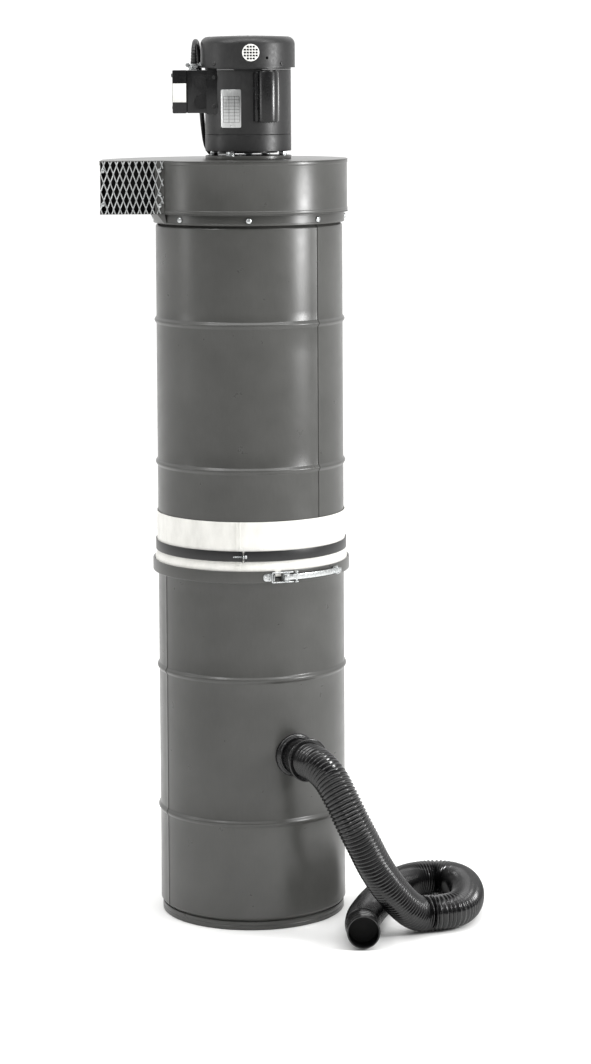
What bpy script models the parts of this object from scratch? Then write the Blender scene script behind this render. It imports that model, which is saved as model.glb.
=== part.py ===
"""Drum-type shop vacuum: two stacked steel drums with a clamp ring, a cloth filter,
a blower with a motor on top, a corrugated hose and a power cord.

Metres, +Z up. The origin is on the drums' axis, on the floor. The front is -Y, the
blower's outlet is at -X, and bearings around the axis are degrees from the front
towards +X.
"""
import math

import bmesh
import bpy
from mathutils import Matrix, Vector

# ---------------------------------------------------------------- driving dimensions
GAP = 0.0003                # between pieces that touch
FACET_GAP = 0.0009          # between turned pieces whose facets don't line up

# drums
DRUM_RADIUS = 0.181         # outside of the wall
DRUM_WALL = 0.0012
DRUM_HEIGHT = 0.680         # from the foot of the chime to the rolled rim
HOOP_FROM_FOOT = 0.2055
HOOP_FROM_RIM = 0.1980
HOOP_RISE = 0.0036
HOOP_HALF_WIDTH = 0.0115
CURL_RADIUS = 0.0040        # section of the rolled rim
CURL_OVERHANG = 0.0045      # how far the rolled rim stands out of the wall
CHIME_HEIGHT = 0.0160
CHIME_METAL = 0.0019
HEAD_DEPTH = 0.0130         # how far the flat head is recessed in the chime
HEAD_METAL = 0.0015
NECK_INSET = 0.0055         # how far the wall steps in at its closed end
NECK_HEIGHTS = (0.0165, 0.0235)

# joint between the drums
GASKET_THICKNESS = 0.0015
CLOTH = 0.0012
RING_METAL = 0.0015
RING_OVERHANG = 0.0105      # from the drums' wall to the outside of the ring
RING_GAP_BEARING = 15.5
RING_GAP_DEGREES = 3.6

# filter
BAG_CLEARANCE = 0.0148      # to the drum's wall
BAG_TOP_CLEARANCE = 0.0736  # to the top of the upper drum
CUFF_REACH = 0.1024         # up from the upper drum's rim
STRAP_REACH = 0.0374        # up from the rim to the strap's middle
STRAP_WIDTH = 0.020
STRAP_METAL = 0.0012
STRAP_BEARING = -4.5
STRAP_SCREW_RADIUS = 0.0018
STRAP_SCREW_LENGTH = 0.026

# clamp ring closure
HOOK_BEARING = 11.5
PIN_BEARING = 19.5
STUD_BEARING = 25.5
CATCH_BEARING = 56.0
LEVER_END_BEARING = 59.0
PIN_RADIUS = 0.0025
STUD_RADIUS = 0.0020
CROSSBAR_RADIUS = 0.0016
CLOSURE_STANDOFF = 0.0072   # from the ring to the pin's, stud's and crossbar's axes
LEVER_THICKNESS = 0.0030
LEVER_HALF_HEIGHT = 0.0050
EAR_METAL = 0.0020
LINK_HEIGHTS = (0.0080, 0.0106)   # of one bar of the link, from the ring's middle
RUNNING_GAP = 0.00008       # between a pivot and its bore

# inlet
INLET_BEARING = 27.0
INLET_DROP = 0.00875         # below the middle between the hoops
INLET_WALL = 0.0020
INLET_RIM_WIDTH = 0.0085
INLET_RIM_THICKNESS = 0.0045
INLET_LENGTH = 0.0520       # outside the drum
INLET_INSIDE = 0.0120       # inside the drum

# hose
HOSE_RADIUS = 0.0335
HOSE_SEAT = 0.0030          # how far the collar's rim stands in under the hose's end
HOSE_CUFF_STEP = 0.0022     # the cuff is slimmer than the hose by this
HOSE_CUFF_WALL = 0.0028
HOSE_CUFF_LENGTH = 0.0440
HOSE_POINT_SPACING = 0.040

# blower
BAND_HEIGHT = 0.0190
BAND_METAL = 0.0016
BAND_CLEARANCE = 0.0021     # from the drum's wall to the band
BAND_SCREWS = 8
BAND_SCREW_HEAD_RADIUS = 0.0055
BAND_SCREW_SHANK_RADIUS = 0.0022
SCROLL_OVERHANG = 0.0100    # from the drum's wall to the side wall
SCROLL_GROWTH = 0.0916      # of the side wall's radius, from the back to the outlet
SCROLL_METAL = 0.0015
SCROLL_HEIGHT = 0.0982      # of the side wall
PLATE_METAL = 0.0016
OUTLET_WIDTH = 0.1042
OUTLET_FLANGE_WIDTH = 0.0172
TONGUE_DEPTH = 0.0340
EYE_RADIUS = 0.0700
MESH_THICKNESS = 0.0016
MESH_PITCH = (0.0123, 0.0333)     # short and long way of a diamond
MESH_STRAND = 0.0018

# impeller
WHEEL_RADIUS = 0.1350
WHEEL_WIDTH = 0.0530
WHEEL_BLADES = 8
BLADE_METAL = 0.0020
HUB_RADIUS = 0.0220

# motor
MOTOR_RADIUS = 0.0833
MOTOR_WALL = 0.0043
MOTOR_PLATE_THICKNESS = 0.0067
MOTOR_STANDOFF = 0.0085     # between the plate and the lower bell
BOLT_CIRCLE_RADIUS = 0.0746
BOLT_FIRST_BEARING = -27.0
BOLT_RADIUS = 0.0048
BOLT_HEAD_RADIUS = 0.0085
BELL_HEIGHT = 0.0320
FRAME_HEIGHT = 0.1242
SHAFT_RADIUS = 0.0079
SHAFT_REACH = 0.0620        # below the blower's cover
BEARING_RADIUS = 0.0200
BEARING_WIDTH = 0.0120
CORE_BORE = 0.0475
ROTOR_RADIUS = 0.0452
CORE_LENGTH = 0.0800
FAN_COVER_OVERHANG = 0.0080
FAN_COVER_METAL = 0.0015
FAN_COVER_HEIGHT = 0.0620
FAN_COVER_SHOULDER = 0.0150
FAN_RADIUS = 0.0750
FAN_BLADES = 8

# pieces on the motor
NAMEPLATE_BEARING = -23.5
NAMEPLATE_WIDTH = 0.0420
NAMEPLATE_HEIGHT = 0.0730
NAMEPLATE_LIFT = 0.0136     # above the frame's lower edge
CAPACITOR_BEARING = 25.0
CAPACITOR_COVER_HALF_WIDTH = 0.0200
CAPACITOR_COVER_DEPTH = 0.0260
CAPACITOR_COVER_LIFT = 0.0236
CAPACITOR_COVER_HEIGHT = 0.0980
CAPACITOR_RADIUS = 0.0115
CAPACITOR_LENGTH = 0.0800
BOX_FRONT = -0.0550
BOX_BACK = 0.0250
BOX_LIFT = 0.0416           # above the frame's lower edge
BOX_HEIGHT = 0.0825
BOX_REACH = 0.0332          # from the motor to the split between the box and its cover
BOX_COVER_DEPTH = 0.0285
BOX_WALL = 0.0020
SADDLE_THICKNESS = 0.0045

# power cord
CORD_RADIUS = 0.00475
CONNECTOR_REACH = 0.0207    # from the motor's side
CONNECTOR_Y = -0.0150
CONNECTOR_RADIUS = 0.0110
CONNECTOR_HEIGHT = 0.0120
CORD_POINT_SPACING = 0.050
COIL_PLACE = (0.0297, 0.3010)
COIL_MEAN_RADIUS = 0.0500
COIL_HALF_WIDTH = 0.0145
COIL_HEIGHT = 0.0190
PLUG_OFFSET = 0.0430        # from the coil's centre to the plug's line
PLUG_LENGTH = 0.0400
PLUG_HALF_WIDTH = 0.0130
PLUG_HALF_HEIGHT = 0.0100

# facets around a turn
STEPS_LARGE = 44
STEPS_MEDIUM = 28
STEPS_SMALL = 16
STEPS_TINY = 10

# ---------------------------------------------------------------- places that follow
DRUM_INSIDE = DRUM_RADIUS - DRUM_WALL
HOOP_HEIGHTS = (HOOP_FROM_FOOT, DRUM_HEIGHT - HOOP_FROM_RIM)   # from the closed end
INLET_HEIGHT = sum(HOOP_HEIGHTS) / 2 - INLET_DROP
INLET_BORE_RADIUS = HOSE_RADIUS - HOSE_SEAT
INLET_RIM_RADIUS = INLET_BORE_RADIUS + INLET_WALL + INLET_RIM_WIDTH
HOSE_CUFF_RADIUS = HOSE_RADIUS - HOSE_CUFF_STEP
CURL_OUTER = DRUM_RADIUS + CURL_OVERHANG
FOOT_RADIUS = DRUM_RADIUS - NECK_INSET
RING_OUTER_RADIUS = DRUM_RADIUS + RING_OVERHANG
UPPER_RIM = DRUM_HEIGHT + GASKET_THICKNESS + CLOTH + 3 * GAP
UPPER_TOP = UPPER_RIM + DRUM_HEIGHT
CHIME_OUTER = FOOT_RADIUS + GAP + CHIME_METAL
BAG_RADIUS = DRUM_INSIDE - BAG_CLEARANCE
BAG_TOP = UPPER_TOP - BAG_TOP_CLEARANCE
CUFF_TOP = UPPER_RIM + CUFF_REACH
STRAP_HEIGHT = UPPER_RIM + STRAP_REACH
SCROLL_RADIUS = DRUM_RADIUS + SCROLL_OVERHANG
OUTLET_LEFT = -(SCROLL_RADIUS + SCROLL_GROWTH)   # outer wall of the outlet
OUTLET_RIGHT = OUTLET_LEFT + OUTLET_WIDTH        # inner wall of the outlet
CUFF_OUTER = CURL_OUTER + GAP + CLOTH
RING_BOTTOM = DRUM_HEIGHT - 2 * CURL_RADIUS - GAP - RING_METAL
RING_TOP = UPPER_RIM + 2 * CURL_RADIUS + GAP + RING_METAL
RING_MIDDLE = (RING_BOTTOM + RING_TOP) / 2
CLOSURE_RADIUS = RING_OUTER_RADIUS + CLOSURE_STANDOFF
SEAL_THICKNESS = 0.0024     # between the upper drum and the blower
BASE_BOTTOM = UPPER_TOP + 2 * GAP + SEAL_THICKNESS
SCROLL_BOTTOM = BASE_BOTTOM + PLATE_METAL + GAP
SCROLL_TOP = SCROLL_BOTTOM + SCROLL_HEIGHT
COVER_BOTTOM = SCROLL_TOP + GAP
COVER_TOP = COVER_BOTTOM + PLATE_METAL
PLATE_BOTTOM = COVER_TOP + GAP
PLATE_TOP = PLATE_BOTTOM + MOTOR_PLATE_THICKNESS
BELL_BOTTOM = PLATE_TOP + MOTOR_STANDOFF
BELL_TOP = BELL_BOTTOM + BELL_HEIGHT
FRAME_BOTTOM = BELL_TOP + GAP
FRAME_TOP = FRAME_BOTTOM + FRAME_HEIGHT
UPPER_BELL_BOTTOM = FRAME_TOP + GAP
UPPER_BELL_TOP = UPPER_BELL_BOTTOM + 0.0077
FAN_COVER_BOTTOM = UPPER_BELL_BOTTOM + 0.0037
FAN_COVER_TOP = FAN_COVER_BOTTOM + FAN_COVER_HEIGHT
FAN_COVER_RADIUS = MOTOR_RADIUS + FAN_COVER_OVERHANG
SHAFT_BOTTOM = COVER_BOTTOM - SHAFT_REACH
NAMEPLATE_BOTTOM = FRAME_BOTTOM + NAMEPLATE_LIFT
CAPACITOR_COVER_BOTTOM = FRAME_BOTTOM + CAPACITOR_COVER_LIFT
BOX_BOTTOM = FRAME_BOTTOM + BOX_LIFT
BOX_TOP = BOX_BOTTOM + BOX_HEIGHT
BOX_SPLIT = -(MOTOR_RADIUS + BOX_REACH)
BOX_LEFT = BOX_SPLIT - BOX_COVER_DEPTH
CONNECTOR_PLACE = (-(MOTOR_RADIUS + CONNECTOR_REACH), CONNECTOR_Y)
CORE_RADIUS = MOTOR_RADIUS - MOTOR_WALL - GAP
CORE_BOTTOM = FRAME_BOTTOM + 0.0200
CORE_TOP = CORE_BOTTOM + CORE_LENGTH
SHAFT_BORE = SHAFT_RADIUS + GAP
BOLT_BORE = BOLT_RADIUS + GAP
OUTLET_PLANE = -math.sqrt(SCROLL_RADIUS**2 - (OUTLET_RIGHT + OUTLET_FLANGE_WIDTH) ** 2)

# The hose's route: out of the collar, down to the floor, one loop, and back under itself.
HOSE_ROUTE = [
    (0.1226, -0.2406, 0.3330),
    (0.1440, -0.2690, 0.3160),
    (0.1643, -0.2890, 0.2822),
    (0.1852, -0.2970, 0.2389),
    (0.2065, -0.2950, 0.1955),
    (0.2287, -0.2840, 0.1492),
    (0.2560, -0.2620, 0.1030),
    (0.2860, -0.2300, 0.0610),
    (0.3100, -0.2060, 0.0390),
    (0.3330, -0.1930, 0.0345),
    (0.3600, -0.1860, 0.0345),
    (0.3860, -0.1700, 0.0345),
    (0.4040, -0.1370, 0.0345),
    (0.4140, -0.0900, 0.0345),
    (0.4170, -0.0400, 0.0345),
    (0.4110, 0.0080, 0.0345),
    (0.3930, 0.0400, 0.0345),
    (0.3640, 0.0540, 0.0345),
    (0.3330, 0.0470, 0.0345),
    (0.3060, 0.0290, 0.0345),
    (0.2810, -0.0050, 0.0345),
    (0.2580, -0.0560, 0.0345),
    (0.2370, -0.1150, 0.0345),
    (0.2200, -0.1720, 0.0345),
    (0.2085, -0.2200, 0.0345),
]
HOSE_MOUTH = (0.2045, -0.3140, 0.0345)

# The cord's route: up out of the box, back over itself, down behind the motor, across
# the blower's top, over its edge and down to the coil on the floor.
CORD_ROUTE = [
    (-0.1040, -0.0150, 1.6740),
    (-0.1035, -0.0060, 1.6880),
    (-0.1015, 0.0100, 1.6960),
    (-0.0985, 0.0290, 1.6930),
    (-0.0965, 0.0430, 1.6790),
    (-0.0950, 0.0510, 1.6550),
    (-0.0935, 0.0560, 1.6200),
    (-0.0915, 0.0620, 1.5700),
    (-0.0885, 0.0700, 1.5300),
    (-0.0840, 0.0830, 1.4970),
    (-0.0760, 0.1020, 1.4790),
    (-0.0660, 0.1240, 1.4745),
    (-0.0530, 0.1530, 1.4750),
    (-0.0430, 0.1780, 1.4755),
    (-0.0360, 0.2000, 1.4750),
    (-0.0318, 0.2160, 1.4680),
    (-0.0303, 0.2260, 1.4520),
    (-0.0300, 0.2300, 1.4300),
    (-0.0300, 0.2310, 1.4000),
    (-0.0300, 0.2310, 1.3300),
    (-0.0300, 0.2310, 0.9000),
    (-0.0300, 0.2310, 0.5000),
    (-0.0300, 0.2310, 0.1100),
    (-0.0300, 0.2320, 0.0480),
    (-0.0300, 0.2400, 0.0200),
]


# ---------------------------------------------------------------- materials
def painted(name, colour, roughness, metallic=0.0):
    """A plain Principled material."""
    material = bpy.data.materials.new(name)
    material.use_nodes = True
    shader = material.node_tree.nodes["Principled BSDF"]
    shader.inputs["Base Color"].default_value = (*colour, 1.0)
    shader.inputs["Roughness"].default_value = roughness
    shader.inputs["Metallic"].default_value = metallic
    return material


def clear_scene():
    for thing in list(bpy.data.objects):
        bpy.data.objects.remove(thing, do_unlink=True)


# ---------------------------------------------------------------- modelling helpers
def around(radius, bearing, height=0.0):
    """A point at a bearing from the front, in degrees towards +X."""
    angle = math.radians(bearing)
    return Vector((radius * math.sin(angle), -radius * math.cos(angle), height))


def add_object(name, mesh, material, parent=None):
    thing = bpy.data.objects.new(name, mesh)
    bpy.context.scene.collection.objects.link(thing)
    if material:
        mesh.materials.append(material)
    mesh.shade_smooth()
    mesh.set_sharp_from_angle(angle=math.radians(35))
    if parent:
        thing.parent = parent
    return thing


def finished_mesh(name, bm):
    bmesh.ops.remove_doubles(bm, verts=bm.verts, dist=1e-6)
    bmesh.ops.recalc_face_normals(bm, faces=bm.faces)
    mesh = bpy.data.meshes.new(name)
    bm.to_mesh(mesh)
    bm.free()
    return mesh


def turned_mesh(name, profile, steps, start=0.0, sweep=360.0):
    """A closed (radius, height) outline turned about Z, from one bearing round to another."""
    bm = bmesh.new()
    whole = sweep >= 360.0
    stations = steps if whole else steps + 1
    rings = []
    for station in range(stations):
        bearing = start + sweep * station / steps
        rings.append([bm.verts.new(around(r, bearing, z)) for r, z in profile])
    count = len(profile)
    for station in range(steps):
        near, far = rings[station], rings[(station + 1) % stations]
        for i in range(count):
            j = (i + 1) % count
            if profile[i][0] == 0.0 and profile[j][0] == 0.0:
                continue
            bm.faces.new((near[i], near[j], far[j], far[i]))
    if not whole:
        bm.faces.new(rings[0])
        bm.faces.new(rings[-1][::-1])
    return finished_mesh(name, bm)


def turned(name, profile, material, steps=STEPS_LARGE, start=0.0, sweep=360.0, parent=None):
    return add_object(name, turned_mesh(name, profile, steps, start, sweep), material, parent)


def prism_mesh(name, outline, low, high):
    """A flat outline of (x, y) points raised from one height to another."""
    bm = bmesh.new()
    face = bm.faces.new([bm.verts.new((x, y, low)) for x, y in outline])
    raised = bmesh.ops.extrude_face_region(bm, geom=[face])
    lifted = [g for g in raised["geom"] if isinstance(g, bmesh.types.BMVert)]
    bmesh.ops.translate(bm, verts=lifted, vec=(0, 0, high - low))
    return finished_mesh(name, bm)


def prism(name, outline, low, high, material, parent=None):
    return add_object(name, prism_mesh(name, outline, low, high), material, parent)


def block_outline(x0, y0, x1, y1):
    return [(x0, y0), (x1, y0), (x1, y1), (x0, y1)]


def block(name, low, high, material, parent=None):
    outline = block_outline(low[0], low[1], high[0], high[1])
    return prism(name, outline, low[2], high[2], material, parent)


def rod_mesh(name, radius, start, end, steps=STEPS_SMALL):
    """A round bar between two points."""
    start, end = Vector(start), Vector(end)
    along = end - start
    bm = bmesh.new()
    turn = along.to_track_quat("Z", "Y").to_matrix().to_4x4()
    place = Matrix.Translation((start + end) / 2) @ turn
    bmesh.ops.create_cone(bm, cap_ends=True, segments=steps, radius1=radius,
                          radius2=radius, depth=along.length, matrix=place)
    return finished_mesh(name, bm)


def rod(name, radius, start, end, material, steps=STEPS_SMALL, parent=None):
    return add_object(name, rod_mesh(name, radius, start, end, steps), material, parent)


def joined_mesh(name, meshes):
    """Several separate bodies in one mesh, for a cutter or a union."""
    bm = bmesh.new()
    for mesh in meshes:
        bm.from_mesh(mesh)
    mesh = bpy.data.meshes.new(name)
    bm.to_mesh(mesh)
    bm.free()
    return mesh


def combine(thing, tool_mesh, operation):
    """Adds or removes the tool's shape with a Boolean that stays on the object."""
    tool = bpy.data.objects.new(thing.name + "_tool_" + str(len(thing.modifiers)), tool_mesh)
    bpy.context.scene.collection.objects.link(tool)
    tool.hide_render = True
    tool.display_type = "WIRE"
    tool.parent = thing.parent
    modifier = thing.modifiers.new(operation.title(), "BOOLEAN")
    modifier.operation = operation
    modifier.solver = "EXACT"
    modifier.object = tool
    return thing


def cut(thing, tool_mesh):
    return combine(thing, tool_mesh, "DIFFERENCE")


def unite(thing, tool_mesh):
    return combine(thing, tool_mesh, "UNION")


def point_at(mesh, place, direction):
    """Turns a mesh that was made along +Z to another direction and moves it there."""
    turn = Vector(direction).to_track_quat("Z", "Y").to_matrix().to_4x4()
    mesh.transform(Matrix.Translation(Vector(place)) @ turn)
    return mesh


def smooth_route(points, spacing, turn=12.0):
    """Points on a smooth curve through the chosen ones, closer together where it bends."""
    knots = [Vector(p) for p in points]
    knots = [2 * knots[0] - knots[1]] + knots + [2 * knots[-1] - knots[-2]]
    dense = [knots[1]]
    for a, b, c, d in zip(knots, knots[1:], knots[2:], knots[3:]):
        for step in range(1, 21):
            t = step / 20
            dense.append(0.5 * (2 * b + (c - a) * t + (2 * a - 5 * b + 4 * c - d) * t**2
                                + (3 * b - a - 3 * c + d) * t**3))
    kept, length, bend = [dense[0]], 0.0, 0.0
    for before, here, after in zip(dense, dense[1:], dense[2:]):
        length += (here - before).length
        bend += math.degrees((here - before).angle(after - here, 0.0))
        if length >= spacing or bend >= turn:
            kept.append(here)
            length, bend = 0.0, 0.0
    kept.append(dense[-1])
    return kept


def cord_tube(name, points, radius, material, resolution):
    """A round tube with filled ends along the points."""
    curve = bpy.data.curves.new(name, "CURVE")
    curve.dimensions = "3D"
    curve.bevel_depth = radius
    curve.bevel_resolution = resolution
    curve.use_fill_caps = True
    spline = curve.splines.new("POLY")
    spline.points.add(len(points) - 1)
    for spot, point in zip(spline.points, points):
        spot.co = (*point, 1.0)
    curve.materials.append(material)
    tube = bpy.data.objects.new(name, curve)
    bpy.context.scene.collection.objects.link(tube)
    return tube


# ---------------------------------------------------------------- drums
def hoop(radius, height, direction):
    """Outline of one rolling hoop, going up (1) or down (-1)."""
    crown = HOOP_HALF_WIDTH * 0.35
    points = [
        (radius, height - HOOP_HALF_WIDTH),
        (radius + HOOP_RISE, height - crown),
        (radius + HOOP_RISE, height + crown),
        (radius, height + HOOP_HALF_WIDTH),
    ]
    return points[::direction]


def drum_profile():
    """Wall of a drum with its closed end at height 0: outside up, rolled rim, inside down."""
    foot = CHIME_METAL + GAP
    low, high = NECK_HEIGHTS
    outline = [(FOOT_RADIUS, foot), (FOOT_RADIUS, low), (DRUM_RADIUS, high)]
    for height in HOOP_HEIGHTS:
        outline += hoop(DRUM_RADIUS, height, 1)
    middle = (CURL_OUTER - CURL_RADIUS, DRUM_HEIGHT - CURL_RADIUS)
    outline.append((DRUM_RADIUS, middle[1] - CURL_RADIUS))
    for degrees in (-45, 0, 45, 100):
        angle = math.radians(degrees)
        outline.append((middle[0] + CURL_RADIUS * math.cos(angle),
                        middle[1] + CURL_RADIUS * math.sin(angle)))
    outline.append((DRUM_INSIDE, DRUM_HEIGHT - CURL_RADIUS * 0.4))
    for height in reversed(HOOP_HEIGHTS):
        outline += hoop(DRUM_INSIDE, height, -1)
    outline += [(DRUM_INSIDE, high), (FOOT_RADIUS - DRUM_WALL, low)]
    outline.append((FOOT_RADIUS - DRUM_WALL, foot))
    return outline


def head_profile(bore=0.0):
    """A recessed head with the chime that grips the wall's end, standing on height 0."""
    grip_out = FOOT_RADIUS + GAP
    grip_in = FOOT_RADIUS - DRUM_WALL - GAP
    inner = grip_in - HEAD_METAL
    return [
        (CHIME_OUTER, 0.0), (CHIME_OUTER, CHIME_HEIGHT), (grip_out, CHIME_HEIGHT),
        (grip_out, CHIME_METAL), (grip_in, CHIME_METAL), (grip_in, HEAD_DEPTH + HEAD_METAL),
        (bore, HEAD_DEPTH + HEAD_METAL), (bore, HEAD_DEPTH), (inner, HEAD_DEPTH), (inner, 0.0),
    ]


def upside_down(profile, top):
    return [(r, top - z) for r, z in profile]


def make_lower_drum(steel):
    drum = turned("lower_drum", drum_profile(), steel)
    reach = Vector(around(1.0, INLET_BEARING))
    hole = rod_mesh("inlet_hole", INLET_BORE_RADIUS + INLET_WALL + GAP,
                    reach * (DRUM_RADIUS - 0.03) + Vector((0, 0, INLET_HEIGHT)),
                    reach * (DRUM_RADIUS + 0.03) + Vector((0, 0, INLET_HEIGHT)), STEPS_MEDIUM)
    cut(drum, hole)
    turned("drum_bottom", head_profile(), steel)


def make_upper_drum(steel):
    turned("upper_drum", upside_down(drum_profile(), UPPER_TOP), steel)
    turned("upper_head", upside_down(head_profile(EYE_RADIUS + 0.012), UPPER_TOP), steel)


# ---------------------------------------------------------------- joint between the drums
def make_gaskets(rubber):
    low = DRUM_HEIGHT + GAP
    inner = CURL_OUTER - 2 * CURL_RADIUS
    turned("rim_gasket", [(inner, low), (CURL_OUTER, low), (CURL_OUTER, low + GASKET_THICKNESS),
                          (inner, low + GASKET_THICKNESS)], rubber)
    low = UPPER_TOP + GAP
    inner = DRUM_INSIDE - 0.010
    turned("blower_gasket", [(inner, low), (CHIME_OUTER, low), (CHIME_OUTER, low + SEAL_THICKNESS),
                             (inner, low + SEAL_THICKNESS)], rubber)


def make_clamp_ring(steel):
    web = RING_OUTER_RADIUS - RING_METAL
    low_lip = DRUM_RADIUS + 0.0012
    high_lip = CUFF_OUTER + FACET_GAP
    profile = [
        (low_lip, RING_BOTTOM), (RING_OUTER_RADIUS, RING_BOTTOM), (RING_OUTER_RADIUS, RING_TOP),
        (high_lip, RING_TOP), (high_lip, RING_TOP - RING_METAL), (web, RING_TOP - RING_METAL),
        (web, RING_BOTTOM + RING_METAL), (low_lip, RING_BOTTOM + RING_METAL),
    ]
    start = RING_GAP_BEARING + RING_GAP_DEGREES / 2
    turned("clamp_ring", profile, steel, start=start, sweep=360.0 - RING_GAP_DEGREES)


def bracket_mesh(name, bearing, half_width, half_height, reach):
    """A channel of two flat ears on a back plate, open outwards, standing on the ring."""
    back = RING_OUTER_RADIUS + GAP
    plate = back + 0.0012
    tip = back + reach
    low, high = RING_MIDDLE - half_height, RING_MIDDLE + half_height
    section = [(back, low), (tip, low), (tip, low + EAR_METAL), (plate, low + EAR_METAL),
               (plate, high - EAR_METAL), (tip, high - EAR_METAL), (tip, high), (back, high)]
    degrees = math.degrees(half_width / back)
    return turned_mesh(name, section, 2, bearing - degrees, 2 * degrees)


def upright_mesh(name, radius, spot, half_height):
    """An upright round bar about the ring's middle height."""
    return rod_mesh(name, radius, (spot.x, spot.y, RING_MIDDLE - half_height),
                    (spot.x, spot.y, RING_MIDDLE + half_height))


def make_brackets(zinc):
    ears = LEVER_HALF_HEIGHT + GAP + EAR_METAL
    pin = around(CLOSURE_RADIUS, PIN_BEARING)
    lever_bracket = add_object("lever_bracket", bracket_mesh(
        "lever_bracket", PIN_BEARING, 0.0052, ears, CLOSURE_STANDOFF + 0.0045), zinc)
    cut(lever_bracket, upright_mesh("pin_hole", PIN_RADIUS + GAP, pin, 0.03))
    add_object("lever_pin", upright_mesh("lever_pin", PIN_RADIUS, pin, ears + GAP), zinc)
    add_object("lever_catch", bracket_mesh(
        "lever_catch", CATCH_BEARING, 0.0060, ears, CLOSURE_STANDOFF + 0.0030), zinc)
    # the hook: a plate on the ring with an upright groove, open outwards
    back = RING_OUTER_RADIUS + GAP
    side = CROSSBAR_RADIUS + GAP
    plan = []
    for across, out in ((-0.0095, 0.0), (0.0050, 0.0), (0.0050, 0.0012),
                        (side + 0.0020, 0.0030), (side + 0.0016, 0.0100), (side, 0.0100),
                        (side, 0.0040), (-side, 0.0040), (-side, 0.0065),
                        (-side - 0.0020, 0.0065), (-side - 0.0030, 0.0012), (-0.0095, 0.0012)):
        spot = around(back + out, HOOK_BEARING + math.degrees(across / back))
        plan.append((spot.x, spot.y))
    prism("hook_bracket", plan, RING_MIDDLE - ears, RING_MIDDLE + ears, zinc)


def bar_mesh(name, inner, outer, low, high, start, end, steps=10):
    """A bar bent around the ring."""
    section = [(inner, low), (outer, low), (outer, high), (inner, high)]
    return turned_mesh(name, section, steps, start, end - start)


def axis_empty(name, place):
    empty = bpy.data.objects.new(name, None)
    bpy.context.scene.collection.objects.link(empty)
    empty.location = place
    return empty


def make_lever(zinc):
    """The lever turns outwards on its pin; the link hangs on the lever's stud."""
    pin = around(CLOSURE_RADIUS, PIN_BEARING, RING_MIDDLE)
    stud = around(CLOSURE_RADIUS, STUD_BEARING, RING_MIDDLE)
    inner = CLOSURE_RADIUS - LEVER_THICKNESS / 2
    lever = add_object("clamp_lever", bar_mesh(
        "clamp_lever", inner, inner + LEVER_THICKNESS, RING_MIDDLE - LEVER_HALF_HEIGHT,
        RING_MIDDLE + LEVER_HALF_HEIGHT, PIN_BEARING, LEVER_END_BEARING, 12), zinc)
    unite(lever, upright_mesh("barrel", PIN_RADIUS + 0.0022, pin, LEVER_HALF_HEIGHT))
    unite(lever, upright_mesh("stud", STUD_RADIUS, stud, LINK_HEIGHTS[1]))
    cut(lever, upright_mesh("pin_bore", PIN_RADIUS + RUNNING_GAP, pin, 0.03))
    keep_place(lever, axis_empty("lever_axis", pin))
    make_link(zinc, stud)


def make_link(zinc, stud):
    """Two bars above and below the lever, joined by a crossbar that sits in the hook."""
    inner = CLOSURE_RADIUS - CROSSBAR_RADIUS
    outer = CLOSURE_RADIUS + CROSSBAR_RADIUS
    near, far = LINK_HEIGHTS
    crossbar = around(CLOSURE_RADIUS, HOOK_BEARING, RING_MIDDLE)
    link = add_object("closing_link", upright_mesh("closing_link", CROSSBAR_RADIUS, crossbar, far), zinc)
    for low, high in ((-far, -near), (near, far)):
        low, high = RING_MIDDLE + low, RING_MIDDLE + high
        unite(link, bar_mesh("bar", inner, outer, low, high, HOOK_BEARING, STUD_BEARING, 4))
        unite(link, rod_mesh("eye", STUD_RADIUS + 0.0020, (stud.x, stud.y, low), (stud.x, stud.y, high)))
    cut(link, upright_mesh("stud_bore", STUD_RADIUS + RUNNING_GAP, stud, 0.03))
    keep_place(link, axis_empty("link_axis", stud))


def keep_place(thing, axis):
    """Parents a piece and its tools to an axis without moving them."""
    for member in [thing] + [m.object for m in thing.modifiers]:
        member.parent = axis
        member.matrix_parent_inverse = Matrix.Translation(-axis.location)


# ---------------------------------------------------------------- filter
def make_filter(cloth, black, zinc):
    foot = DRUM_HEIGHT + GASKET_THICKNESS + 2 * GAP
    inside = CURL_OUTER - 2 * CURL_RADIUS - 2 * GAP
    shoulder = UPPER_RIM + 0.020
    turned("filter_bag", [
        (CURL_OUTER, foot), (CURL_OUTER, foot + CLOTH), (inside, foot + CLOTH),
        (BAG_RADIUS, shoulder), (BAG_RADIUS, BAG_TOP - 0.03), (BAG_RADIUS - 0.03, BAG_TOP),
        (0.0, BAG_TOP), (0.0, BAG_TOP - CLOTH), (BAG_RADIUS - 0.03 - CLOTH, BAG_TOP - CLOTH),
        (BAG_RADIUS - CLOTH, BAG_TOP - 0.03 - CLOTH), (BAG_RADIUS - CLOTH, shoulder),
        (inside - CLOTH, foot + CLOTH), (inside - CLOTH, foot),
    ], cloth)
    wall = DRUM_RADIUS + GAP
    over = CURL_OUTER + GAP
    knee = UPPER_RIM + 2 * CURL_RADIUS + 0.004
    turned("filter_cuff", [
        (over, foot), (over + CLOTH, foot), (over + CLOTH, knee), (wall + CLOTH * 1.5, knee + 0.012),
        (wall + CLOTH * 1.5, CUFF_TOP), (wall, CUFF_TOP), (wall, knee + 0.010), (over, knee),
    ], cloth)
    make_strap(wall + CLOTH * 1.5 + FACET_GAP, black, zinc)


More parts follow.
